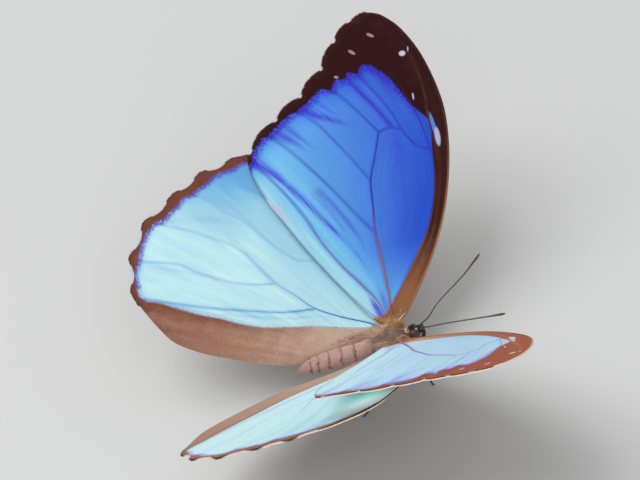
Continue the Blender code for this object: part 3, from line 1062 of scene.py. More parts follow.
        # Painted light for the forewing's shadow: a patch on the right hindwing, a faint band on the left
        # one.
        paint(piece.data, "lit", self.fields["shadow_fill" if side is Side.RIGHT else "hidden"])
        self.unwrap(piece.data)
        if side is Side.RIGHT:
            piece.data.flip_normals()
        for name in (self.top, self.under):
            piece.data.materials.append(looks[name])
        apply_modifier(piece, "SOLIDIFY", thickness=self.thickness * MM, offset=0.0, material_offset=1,
                       material_offset_rim=0, use_even_offset=False)
        apply_modifier(piece, "WELD", merge_threshold=2e-6)
        self.part_map(piece.data)
        add_piece(piece, [f"{self.kind}_{side.value}"], self.slot)
        smooth_shaded(piece, 40)

    def unwrap(self, mesh: bpy.types.Mesh) -> None:
        """Lays the grid flat on the left half of the bake map."""
        mesh.uv_layers[0].name = BAKE_MAP
        low, high = self.grid.min(axis=0), self.grid.max(axis=0)
        flat = (self.grid - low) / (high - low) * np.array([0.46, 0.94]) + np.array([0.02, 0.03])
        lay_out(mesh, flat[corners_of(mesh)])

    @staticmethod
    def part_map(mesh: bpy.types.Mesh) -> None:
        """Moves the under face to the right half of the bake map, and gives the rim faces some width."""
        count, corners = len(mesh.polygons), len(mesh.loops)
        slot, starts, sizes = (np.zeros(count, np.int32) for _ in range(3))
        mesh.polygons.foreach_get("material_index", slot)
        mesh.polygons.foreach_get("loop_start", starts)
        mesh.polygons.foreach_get("loop_total", sizes)
        owner = np.repeat(np.arange(count), sizes)
        order = np.concatenate([np.arange(a, a + n) for a, n in zip(starts, sizes)])
        under = np.zeros(corners, bool)
        under[order] = slot[owner] == 1
        uv = np.zeros(corners * 2, np.float32)
        layer = mesh.uv_layers[BAKE_MAP].data
        layer.foreach_get("uv", uv)
        uv = uv.reshape(-1, 2)
        vertex = corners_of(mesh)
        below = np.zeros(len(mesh.vertices), bool)
        below[vertex[under]] = True
        rim_low = below[vertex] & ~under
        middle = np.array([0.25, 0.5])
        uv[rim_low] += unit(uv[rim_low] - middle) * 0.006
        uv[under] += np.array([0.5, 0.0])
        layer.foreach_set("uv", uv.ravel())

    def build_veins(self, side: Side, looks: dict) -> None:
        """The veins, as tapering tubes that stand proud of both faces."""
        tubes, flats, pales = [], [], []
        for vein in self.veins:
            line = curve_through(vein.line, 8)
            line = even(line, max(6, int(lengths_along(line)[-1] / 0.8)))
            share = np.linspace(0, 1, len(line))
            radii = vein.start + (vein.end - vein.start) * share
            made = tube("vein", self.surface(side, line), radii, 6)
            near, _ = nearest(places_of(made.data), to_metres(self.surface(side, line)))
            flats.append(line[near])
            pales.append(np.full(len(near), vein.pale))
            tubes.append(made)
        select_none()
        for made in tubes:
            made.select_set(True)
        bpy.context.view_layer.objects.active = tubes[0]
        bpy.ops.object.join()
        piece = added(f"{self.kind}_veins_{side.value}")
        flat = np.vstack(flats)
        self.mark(piece.data, side, flat)
        paint(piece.data, "reach", np.linalg.norm(flat, axis=1) / VEIN_REACH)
        paint(piece.data, "pale", np.concatenate(pales))
        paint(piece.data, "border", self.colour_fields(flat)["border"])
        add_piece(piece, [f"{self.kind}_{side.value}"], self.slot, looks[self.vein_finish])

    def build_fringe(self, side: Side, looks: dict) -> None:
        """The fringe: short scales in two layers, the under one cream and drooping."""
        rng = np.random.default_rng(7)
        margin = even(self.margin(), MARGIN_STEPS)
        bays, points, count = self.bays(), [], FRINGE_COUNT
        for layer, (length, width, lift, sink) in enumerate(FRINGE_LAYERS):
            at = np.sort(rng.uniform(0.001, 0.999, count)) * (MARGIN_STEPS - 1)
            low = at.astype(int)
            root = margin[low] + (margin[low + 1] - margin[low]) * (at - low)[:, None]
            run = margin[np.minimum(low + 6, MARGIN_STEPS)] - margin[np.maximum(low - 6, 0)]
            away = np.column_stack([run[:, 1], -run[:, 0]])
            away = unit(away)
            away += rng.normal(0, 0.12, away.shape) * (layer == 0)
            gap = nearest(root, bays)[1]
            cream = np.clip(1.25 - gap / 0.8, 0, 1) * (1 - layer)
            hidden = np.full(count, layer * self.hemmed(root))
            points.append((root - away * 0.06, away, cream, hidden, np.full(count, sink),
                           length * rng.uniform(0.75, 1.15, count), width * rng.uniform(0.8, 1.2, count),
                           lift + rng.normal(0, 5, count)))
        root, away, cream, hidden, sink, length, width, lift = (np.concatenate(p) for p in zip(*points))
        place = self.surface(side, root, sink)
        lie = self.surface(side, root + away * 0.2, sink) - place
        up = self.surface(side, root, sink + 0.2) - place
        order = np.arange(len(root))
        map_place = np.column_stack([(order % count) / count, 0.25 + 0.5 * (order // count)])
        shade = rng.uniform(0, 1, len(root))
        piece = Tufts(place, lie, up, length, width, lift, map_place).build(
            f"{self.kind}_fringe_{side.value}", cream=cream, under=hidden, shade=shade)
        add_piece(piece, [f"{self.kind}_{side.value}"], self.slot, looks[FRINGE])


@dataclass
class Forewing(Wing):
    """A forewing."""

    costa: Sequence[Flat] = ((-0.6, 1.5), (3.6, 5.5), (11.0, 11.4), (19.1, 16.2), (28.5, 19.9),
                             (37.3, 21.9), (44.1, 22.1), (51.9, 21.0), (58.0, 18.8), (61.4, 16.4),
                             (62.6, 14.9), (63.2, 13.4))
    inner: Sequence[Flat] = ((-0.6, -2.2), (7.0, -6.3), (17.7, -11.4), (29.5, -16.0), (36.5, -17.8),
                             (40.7, -17.8))
    notches: Sequence[Flat] = ((41.7, -16.4), (46.5, -10.0), (49.9, -3.9), (54.2, 1.7), (59.1, 5.7),
                               (62.3, 9.6))
    lobe: float = 0.14
    costa_brown: Sequence[Flat] = ((3.9, 1.3), (6.2, 3.5), (9.8, 6.7), (13.9, 10.2), (18.0, 12.9),
                                   (23.0, 15.2), (27.5, 16.6), (31.9, 17.5), (35.2, 18.3), (38.0, 18.5))
    border: Sequence[Flat] = ((38.0, 18.5), (39.8, 17.4), (42.8, 15.9), (45.7, 14.9), (48.0, 13.9),
                              (50.3, 12.6), (52.1, 11.0), (52.9, 9.5), (51.4, 7.6), (52.2, 6.0),
                              (50.9, 4.9), (51.4, 3.6), (49.8, 1.9), (50.4, 0.2), (49.6, -1.5),
                              (48.6, -2.9), (47.9, -4.6), (47.4, -6.4), (46.3, -9.1), (45.2, -10.6),
                              (44.3, -12.4), (43.6, -13.8), (42.3, -15.5), (41.2, -16.5), (39.9, -17.1),
                              (39.0, -18.6))
    costal_line: Sequence[Flat] = ((3.0, 2.6), (8.6, 7.6), (15.6, 12.8), (25.4, 17.3), (31.0, 18.3),
                                   (37.4, 18.6), (42.4, 19.3), (48.0, 19.5), (52.9, 19.0), (54.8, 18.7))

    def edges(self) -> tuple[np.ndarray, np.ndarray]:
        """The front edge runs along the costa, the rear one along the inner edge and the margin."""
        rear = np.vstack([curve_through(self.inner), self.margin()[1:]])
        return even(curve_through(self.costa), self.stations), even(rear, self.stations)

    def margin(self) -> np.ndarray:
        """The margin from the inner corner to the tip."""
        last = curve_through((self.notches[-1], (62.9, 10.9), (63.3, 12.2), self.costa[-1]))
        return np.vstack([np.array(self.inner[-1:]), scallops(self.notches, self.lobe), last[1:]])

    def bays(self) -> np.ndarray:
        """The notches."""
        return np.array(self.notches)

    def hang(self, u: np.ndarray, v: np.ndarray) -> np.ndarray:
        """The costa is a little raised, and the rear of the margin hangs."""
        costa = 0.2 * hill(u, 13, 14) * hill(v - 0.75 * u, 2.5, 5.5)
        across = np.clip((-0.41 * u - 0.91 * v + 1.5) / 5.0 + 1, 0, 1)  # 1 along the inner edge
        rear = across * across * np.clip(u / 12, 0, 1)
        return costa - 0.68 * hill(0.9 * u - 0.42 * v, 47, 6) * hill(v, -6.5, 11) - 0.5 * rear

    def colour_fields(self, places: np.ndarray) -> dict:
        """The blue deepens with the angle forward; the brown follows the costa and the margin."""
        u, v = places.T
        angle = np.degrees(np.arctan2(v + 1.0, np.maximum(u, 0.5) + 5.0))
        shade = np.clip((angle + 24) / 52, 0, 1)
        inner, _ = distance_to(curve_through(self.inner, 8), places)
        shade = shade * (1 - 0.95 * hill(inner, 0.7, 2.3) * np.clip(1.35 - u / 22, 0, 1))
        shade = np.clip(shade * (1 - 0.4 * hill(angle, -14, 12) * np.clip(1.5 - u / 14, 0, 1)), 0, 1)
        shade *= 1 - 0.55 * np.clip(1.5 - u / 10, 0, 1)
        line = np.vstack([curve_through(self.costa_brown, 6), np.array(self.border[1:])])
        blue = inside(np.vstack([line, [(38.0, -26.0), (1.6, -14.0), (1.6, -1.0)]]), places)
        gap, along = distance_to(line, places)
        shade = np.clip(shade + 0.22 * np.exp(-(gap / 3.2) ** 2) * np.clip((along - 0.5) * 8, 0, 1), 0, 1)
        border = np.where(blue, -gap, gap)
        tan_gap, _ = distance_to(curve_through(self.costal_line), places)
        hem, _ = distance_to(curve_through(self.costa), places)
        near = np.exp(-(u / 7.0) ** 2)
        tan = np.exp(-(tan_gap / (0.2 + 1.2 * near)) ** 2)
        tan *= np.clip(0.1 + near + 0.55 * hill(u, 46, 10), 0, 1)
        tan = np.maximum(tan, np.exp(-(hem / 0.28) ** 2) * 0.5) * (1 - 0.8 * np.clip((u - 30) / 16, 0, 1))
        warm = np.clip(1.05 - u / 17, 0, 1) * 0.8 + 0.3 * np.clip(1 - u / 42, 0, 1)
        warm += 0.2 * np.clip(1 - self.rim(places) / 1.5, 0, 1) + 0.12 * hill(hem, 2.2, 1.5)
        violet = np.clip((along - 0.42) * 9, 0.0, 0.95)
        seam = np.exp(-(inner / 0.13) ** 2) * 0.85 * np.clip(u / 6 - 0.4, 0, 1)
        none = np.zeros(len(u))
        return {"shade": shade, "border": border, "tan": tan, "seam": seam, "warm": np.clip(warm, 0, 1),
                "violet": violet, "shadow_fill": none, "hidden": none}

    def rim(self, places: np.ndarray) -> np.ndarray:
        """How far each place is from the margin."""
        return distance_to(self.margin(), places)[0]


@dataclass
class Hindwing(Wing):
    """A hindwing."""

    costa: Sequence[Flat] = ((-0.9, -1.6), (6.0, 0.9), (14.0, 1.0), (22.0, -1.2), (30.7, -4.8), (37.2, -8.8),
                             (40.9, -12.5), (42.4, -16.8), (42.8, -20.6))
    teeth: Sequence[Flat] = ((42.8, -20.6), (41.9, -27.4), (39.1, -33.8), (35.3, -40.7), (29.0, -45.3),
                             (22.0, -46.8))
    scoop: float = 0.10
    inner: Sequence[Flat] = ((-1.0, -3.4), (-1.4, -7.5), (-1.5, -13.0), (-1.7, -18.5), (-1.4, -21.5),
                             (-0.5, -24.8), (0.9, -27.9), (2.8, -31.3), (5.7, -36.6), (9.4, -41.3),
                             (13.6, -43.8), (18.8, -46.0))
    curl: tuple[float, float, float] = (0.8, 0.2, 1.9)  # depth, where it starts, and how wide it is
    border: Sequence[Flat] = ((39.9, -12.4), (41.4, -16.0), (41.5, -19.3), (40.8, -21.0), (40.8, -23.2),
                              (40.7, -25.0), (39.4, -26.8), (39.0, -28.3), (38.2, -29.9), (38.1, -31.8),
                              (36.6, -33.6), (35.7, -35.5), (34.6, -37.0), (34.7, -38.8), (33.0, -40.8),
                              (31.0, -42.4), (28.0, -43.9), (25.2, -45.5), (20.6, -45.6), (19.2, -44.4))
    fold: Sequence[Flat] = ((19.2, -44.4), (18.2, -42.2), (16.0, -39.0), (13.4, -35.0), (11.3, -31.2),
                            (9.4, -28.3), (7.3, -24.1), (5.9, -19.6), (4.7, -15.2), (3.1, -10.8), (1.6, -6.4),
                            (0.9, -3.4))
    shadow: Flat = (32.5, -12.2)  # the middle of the forewing's shadow

    def edges(self) -> tuple[np.ndarray, np.ndarray]:
        """The front edge runs along the costa and the teeth, the rear one along the inner edge."""
        front = np.vstack([curve_through(self.costa), scallops(self.teeth, self.scoop, rounded=True)[1:]])
        return even(front, self.stations), even(curve_through(self.inner), self.stations)

    def margin(self) -> np.ndarray:
        """The margin from the inner corner round to the outer end of the costa."""
        line = np.vstack([curve_through(self.costa[5:]), scallops(self.teeth, self.scoop, rounded=True)[1:],
                          np.array(self.inner[-1:])])
        return line[::-1]

    def bays(self) -> np.ndarray:
        """The middles of the bays between teeth."""
        line = scallops(self.teeth, self.scoop, rounded=True)
        return np.vstack([line[at::16] for at in (5, 7, 9, 11)])

    def hemmed(self, places: np.ndarray) -> np.ndarray:
        """Cream but on the teeth."""
        gap = nearest(places, np.array(self.teeth[1:]))[1]
        return np.clip(gap / 1.2 - 0.4, 0.1, 1)

    def hang(self, u: np.ndarray, v: np.ndarray) -> np.ndarray:
        """The inner edge curls down beside the abdomen."""
        depth, start, width = self.curl
        part = np.maximum(0.0, (start - u) / width)
        return -depth * part * part * hill(v, -17, 9)

    def colour_fields(self, places: np.ndarray) -> dict:
        """Pale blue, deeper towards the costa, with a narrow brown margin and a broad brown inner fold."""
        u, v = places.T
        gap, _ = distance_to(curve_through(self.costa), places)
        # Paler towards the base: partly the wing's own tone, partly painted light against the forewing's
        # shadow.
        shade = np.clip(1 - gap / 19, 0, 1) ** 1.2 * 1.1 * np.clip(u / 20, 0.1, 1)
        shade += 0.1 * np.clip(np.hypot(u, v) / 16 - 0.4, 0, 1)
        from_border, _ = distance_to(np.array(self.border), places)
        shade += 0.15 * np.clip(1 - from_border / 1.8, 0, 1)
        fold = curve_through(self.fold, 4)
        line = np.vstack([np.array(self.border), fold[1:]])
        front = [(-1.0, 3.0), (10.0, 4.0), (24.0, 1.0), (36.0, -5.5)]
        blue = inside(np.vstack([line, front]), places)
        far, along = distance_to(line, places)
        border = np.where(blue, -far, far)
        rim, _ = distance_to(self.margin(), places)
        from_fold, _ = distance_to(fold, places)
        warm = np.clip((rim - 0.3) / 1.2, 0, 1) * ~blue * np.clip(0.42 + (v + 44) / 44 * 0.8, 0.3, 1)
        warm *= from_fold < rim + 9
        warm *= 1 - 0.5 * np.exp(-(from_fold / 1.6) ** 2) * np.clip(-v / 30 - 0.3, 0, 1)
        warm = np.where(from_border < 2.2, np.minimum(warm, 0.16), warm)
        violet = np.where(along < 0.47, 0.85, 0.3 * np.clip(1.9 - along * 2, 0, 1))
        # Painted light: a patch that lightens the forewing's shadow on the right hindwing.
        shadow_fill = hill(u, self.shadow[0], 7.0) * hill(v, self.shadow[1], 6.0)
        turn = np.arctan2(v + 1.0, u + 9.0)
        fan = np.column_stack([turn * 28.0, np.hypot(u + 9.0, v + 1.0) * 0.07, turn * 0.0])
        # Painted light: a faint band that lightens the forewing's shadow along its edge, for the left
        # hindwing.
        near, _ = distance_to(np.array(((-1.0, -2.4), (17.0, -12.0), (40.0, -18.0))), places)
        hidden = 0.11 * np.exp(-(near / 3.0) ** 2) * np.clip(1.3 - u / 40, 0, 1)
        none = np.zeros(len(places))
        return {"shade": np.clip(shade, 0, 1), "border": border, "tan": none, "seam": none, "fan": fan,
                "warm": np.clip(warm, 0, 1), "violet": violet, "shadow_fill": shadow_fill, "hidden": hidden}


# ---------------------------------------------------------------- body

BODY_RINGS = (-8.4, -11.0, -13.4, -15.6, -17.3)  # where the abdomen's rings meet
# The coat's cream spots on the head and behind it, on both sides: x, f, z and radius.
CREAM_SPOTS = ((0.5, 3.66, -0.5, 0.21), (0.3, 2.0, -0.65, 0.21), (0.95, 2.15, -1.75, 0.25))


@dataclass
class Body:
    """Head, thorax and abdomen under one skin, with the coat over it."""

    # (f, height of the axis, half width, half height) of the outline, coat included
    sections: Sequence[tuple[float, float, float, float]] = ( (4.85, -1.5, 0.33, 0.42),
        (4.55, -1.46, 0.75, 0.95), (4.1, -1.38, 0.94, 1.22), (3.5, -1.35, 0.96, 1.26),
        (2.85, -1.35, 0.9, 1.05), (2.45, -1.4, 0.95, 1.05), (1.85, -1.55, 1.4, 1.4),
        (1.0, -1.85, 2.2, 1.95), (-0.2, -2.05, 2.9, 2.45), (-1.6, -2.1, 2.95, 2.5),
        (-3.0, -1.95, 2.6, 2.35), (-4.0, -1.85, 2.1, 2.1), (-4.8, -1.85, 1.7, 1.75),
        (-5.5, -1.95, 1.68, 1.68), (-7.5, -2.0, 1.8, 1.8), (-10.5, -2.0, 1.85, 1.85),
        (-13.5, -2.0, 1.86, 1.86), (-16.0, -2.05, 1.76, 1.76), (-17.8, -2.1, 1.45, 1.45),
        (-19.2, -2.2, 0.9, 0.95), (-20.0, -2.25, 0.4, 0.45))
    depths: Sequence[Flat] = ((5.0, 0.10), (2.9, 0.16), (2.2, 0.3), (0.0, 0.55), (-4.0, 0.5), (-6.0, 0.22),
                              (-20.0, 0.14))
    sides: int = 48
    rings: int = 90
    nodes: tuple = ("head", "thorax", "abdomen")

    def outline(self, f: np.ndarray, shrink: bool = True) -> np.ndarray:
        """The body's section at given places along it.

        Args:
            f: the places.
            shrink: whether the coat's depth is taken off.

        Returns:
            The axis height, half width and half height of each.
        """
        line = curve_through(self.sections, 12)[::-1]
        found = np.stack([np.interp(f, line[:, 0], line[:, k]) for k in (1, 2, 3)], axis=1)
        for ring in BODY_RINGS:
            found[:, 1:] *= (1 - 0.035 * hill(f, ring, 0.3))[:, None]
        if shrink:
            depths = np.array(self.depths)[::-1]
            found[:, 1:] -= np.interp(f, depths[:, 0], depths[:, 1])[:, None]
        return np.maximum(found, np.array([-9.0, 0.12, 0.12]))

    def on_skin(self, f: np.ndarray, angle: np.ndarray) -> tuple[np.ndarray, np.ndarray]:
        """Places on the skin and its outward directions there, by f and the angle from the top."""
        z, wide, high = self.outline(f).T
        place = np.column_stack([wide * np.sin(angle), f, z + high * np.cos(angle)])
        ahead = self.outline(f + 0.05)
        slope = -(ahead[:, 1] - wide) / 0.05
        out = np.column_stack([np.sin(angle) / np.maximum(wide, 0.1), slope * 0.7 / np.maximum(wide, 0.1),
                               np.cos(angle) / np.maximum(high, 0.1)])
        return place, unit(out)

    def build(self, looks: dict) -> None:
        """The skin and then its coat."""
        self.build_skin(looks)
        self.build_coat(looks)

    def build_skin(self, looks: dict) -> None:
        """One skin from the face to the tip of the abdomen: a disc extruded ring by ring."""
        stops = np.linspace(4.95, -20.0, self.rings)
        z, wide, high = self.outline(stops).T
        centre = to_metres(np.column_stack([np.zeros(self.rings), stops, z]))
        select_none()
        bpy.ops.mesh.primitive_circle_add(vertices=self.sides, radius=MM, fill_type="NGON",
                                          location=centre[0], rotation=(math.radians(90), 0, 0))
        piece = added("body_skin")
        bpy.ops.object.transform_apply(location=True, rotation=True, scale=True)
        bpy.ops.object.mode_set(mode="EDIT")
        bpy.ops.mesh.select_all(action="SELECT")
        bpy.ops.transform.resize(value=(wide[0], 1, high[0]), center_override=tuple(centre[0]))
        for k in range(1, self.rings):
            step = tuple(centre[k] - centre[k - 1])
            bpy.ops.mesh.extrude_region_move(TRANSFORM_OT_translate={"value": step})
            grown = (wide[k] / wide[k - 1], 1, high[k] / high[k - 1])
            bpy.ops.transform.resize(value=grown, center_override=tuple(centre[k]))
        bpy.ops.mesh.select_all(action="SELECT")
        bpy.ops.mesh.normals_make_consistent(inside=False)
        bpy.ops.object.mode_set(mode="OBJECT")
        paint(piece.data, "place", body_places(piece.data))
        self.unwrap(piece.data)
        add_piece(piece, self.nodes, "body_hair", looks[SKIN])
        smooth_shaded(piece, 70)

    def unwrap(self, mesh: bpy.types.Mesh) -> None:
        """Unrolls the skin: round the body across the map, along it up the map."""
        places = body_places(mesh)
        z = self.outline(places[:, 1])[:, 0]
        turn = np.arctan2(places[:, 0], places[:, 2] - z) / math.tau + 0.5
        flat = np.zeros((len(mesh.loops), 2))
        for face in mesh.polygons:
            corners = list(face.loop_indices)
            ids = [mesh.loops[i].vertex_index for i in corners]
            around = turn[ids].copy()
            if len(ids) < 8 and np.ptp(around) > 0.5:
                around[around < 0.5] += 1.0
            flat[corners, 0] = around * 0.96 + 0.01
            flat[corners, 1] = (places[ids, 1] + SKIN_BACK) / SKIN_LENGTH
        lay_out(mesh, flat)

    def build_coat(self, looks: dict) -> None:
        """The coat in three lengths of the body, each in tufts that lie backward."""
        for coat in COATS:
            rng = np.random.default_rng(coat.seed)
            f = rng.uniform(coat.low, coat.high, coat.count)
            angle = rng.uniform(-math.pi, math.pi, coat.count)
            root, out = self.on_skin(f, angle)
            lie = np.column_stack([np.zeros(coat.count), np.full(coat.count, coat.way), np.zeros(coat.count)])
            lie += rng.normal(0, coat.stray, lie.shape)
            length = coat.length * rng.uniform(0.65, 1.25, coat.count)
            if coat.name == "thorax_coat":
                length *= 0.75 + 0.5 * hill(f, 0.6, 1.2) + 0.35 * hill(np.abs(angle), 1.3, 0.5)
                length *= 1 - 0.6 * np.clip((f - 0.9) / 1.0, 0, 1)
            width = coat.width * rng.uniform(0.75, 1.25, coat.count)
            lift = coat.lift + rng.normal(0, coat.lift * 0.35, coat.count)
            map_place = np.column_stack([angle / math.tau + 0.5, (f + SKIN_BACK) / SKIN_LENGTH])
            pale = self.pale_spots(root)
            piece = Tufts(root, lie, out, length, width, lift, map_place).build(
                coat.name, place=root, shade=rng.uniform(0, 1, coat.count), pale=pale)
            add_piece(piece, [coat.node], "body_hair", looks[COAT])

    @staticmethod
    def pale_spots(root: np.ndarray) -> np.ndarray:
        """Where the coat is cream: on the crown, in front of each eye, and behind the head."""
        x, f, z = root.T
        pale = np.zeros(len(root), bool)
        for side, at, high, size in CREAM_SPOTS:
            far = np.column_stack([np.abs(x) - side, (f - at) * 0.8, (z - high) * 0.6])
            pale |= np.linalg.norm(far, axis=1) < size
        ahead, up = (f - 3.25) / 1.02, (z + 1.2) / 1.05
        rim = (np.abs(np.hypot(ahead, up) - 1.12) < 0.17) & (np.abs(x) > 0.3)
        pale |= rim & (np.abs(np.degrees(np.arctan2(up, ahead)) + 42) < 32)
        return pale.astype(float)


@dataclass(frozen=True)
class Coat:
    """One length of the coat."""

    name: str
    node: str
    low: float
    high: float
    count: int
    length: float
    width: float
    lift: float
    way: float  # -1 backward, +1 forward
    stray: float
    seed: int


COATS = (
    Coat("abdomen_coat", "abdomen", -19.9, -4.6, 18000, 0.42, 0.12, 10.0, -1.0, 0.10, 3),
    Coat("thorax_coat", "thorax", -5.6, 2.3, 19000, 1.0, 0.075, 22.0, -1.0, 0.26, 4),
    Coat("head_coat", "head", 2.2, 4.9, 7000, 0.34, 0.06, 30.0, 1.0, 0.35, 5),
)


@dataclass
class Shoulders:
    """The pads over the wing hinges, and the long hair that bridges from the thorax to the wings."""

    pads: tuple = (("shoulder_pad", (2.4, 0.45, -0.42), (0.95, 1.4, 0.62), -24.0),
                   ("hinge_pad", (2.45, -1.9, -0.7), (0.75, 1.7, 0.62), 8.0))
    count: int = 2600
    drop: float = 0.5  # how far below the left pads the right ones sit

    def build(self, body: Body, looks: dict) -> None:
        """Both sides' pads and hair."""
        for side in Side:
            for pad in self.pads:
                self.build_pad(side, pad, looks)
            self.build_mantle(side, body, looks)

    def build_pad(self, side: Side, pad: tuple, looks: dict) -> None:
        """A small oval pad with its own hair, over or behind the forewing's hinge."""
        select_none()
        name, (x, f, z), size, turn = pad
        z -= self.drop * (side is Side.RIGHT)
        middle = to_metres(np.array([[x * side.sign, f, z]]))[0]
        bpy.ops.mesh.primitive_uv_sphere_add(segments=32, ring_count=20, radius=MM, location=middle,
                                             rotation=(0, math.radians(25 * side.sign), 0))
        piece = added(f"{name}_{side.value}")
        piece.scale = size
        piece.rotation_euler[2] = math.radians(turn) * side.sign
        bpy.ops.object.transform_apply(location=True, rotation=True, scale=True)
        places = body_places(piece.data)
        paint(piece.data, "place", places)
        rng = np.random.default_rng(23)
        picked = rng.integers(0, len(places), self.count)
        out = places[picked] - np.array([x * side.sign, f, z])
        root = places[picked] + rng.normal(0, 0.05, (self.count, 3))
        lie = np.tile([0.9 * side.sign, -0.8, -0.1], (self.count, 1)) + rng.normal(0, 0.25, (self.count, 3))
        add_piece(piece, ["thorax"], "body_hair", looks[SKIN])
        smooth_shaded(piece)
        flat = (root - root.min(axis=0)) / np.ptp(root, axis=0)
        hair = Tufts(root, lie, out, rng.uniform(0.5, 1.0, self.count), np.full(self.count, 0.07),
                     rng.uniform(4, 20, self.count), flat[:, :2]).build(
            f"{name}_hair_{side.value}", shade=rng.uniform(0, 1, self.count))
        golden = side is Side.LEFT and name == "shoulder_pad"
        add_piece(hair, ["thorax"], "body_hair", looks[GOLD if golden else TAUPE])

    def build_mantle(self, side: Side, body: Body, looks: dict) -> None:
        """Long hair from the thorax's flank, outward and back over the wing bases."""
        rng = np.random.default_rng(29)
        f = rng.uniform(-5.2, 1.6, self.count)
        angle = rng.uniform(math.radians(28), math.radians(92), self.count)
        root, out = body.on_skin(f, angle * side.sign)
        lie = np.column_stack([np.full(self.count, side.sign) * (0.9 + 0.12 * f), -1.15 + 0.28 * f,
                               np.full(self.count, 0.15)])
        lie += rng.normal(0, 0.2, lie.shape)
        length = rng.uniform(1.2, 2.4, self.count)
        shade = rng.uniform(0, 1, self.count) ** 1.2
        map_place = np.column_stack([angle / 2, (f + 6) / 8])
        for name, keep, look in (("front", f > -1.4, GOLD), ("rear", f <= -1.4, TAUPE)):
            hair = Tufts(root[keep], lie[keep], out[keep], length[keep], np.full(keep.sum(), 0.085),
                         rng.uniform(2, 16, keep.sum()), map_place[keep]).build(
                f"mantle_{name}_{side.value}", shade=shade[keep])
            add_piece(hair, ["thorax"], "body_hair", looks[look])


@dataclass
class Eyes:
    """The two eyes: smooth domes with flat inner sides."""

    centre: tuple[float, float, float] = (0.92, 3.25, -1.22)
    size: tuple[float, float, float] = (0.7, 1.02, 1.05)
    cut: float = 0.74  # where the flat inner side is

    def build(self, looks: dict) -> None:
        """Both eyes, each a sphere cut flat where it meets the head."""
        for side in Side:
            select_none()
            x, f, z = self.centre
            middle = to_metres(np.array([[x * side.sign, f, z]]))[0]
            bpy.ops.mesh.primitive_uv_sphere_add(segments=48, ring_count=32, radius=MM, location=middle,
                                                 rotation=(0, math.radians(90), 0))
            piece = added(f"eye_dome_{side.value}")
            bpy.ops.object.transform_apply(location=True, rotation=True, scale=True)
            bpy.ops.object.mode_set(mode="EDIT")
            bpy.ops.mesh.select_all(action="SELECT")
            bpy.ops.transform.resize(value=self.size, center_override=tuple(middle))
            inner = to_metres(np.array([[self.cut * side.sign, f, z]]))[0]
            bpy.ops.mesh.bisect(plane_co=tuple(inner), plane_no=(-side.sign, 0, 0), use_fill=True,
                                clear_outer=True)
            bpy.ops.mesh.select_all(action="SELECT")
            bpy.ops.mesh.normals_make_consistent(inside=False)
            bpy.ops.object.mode_set(mode="OBJECT")
            paint(piece.data, "place", body_places(piece.data))
            add_piece(piece, [f"eye_{side.value}"], "eye_facets", looks[EYE])
            smooth_shaded(piece, 60)


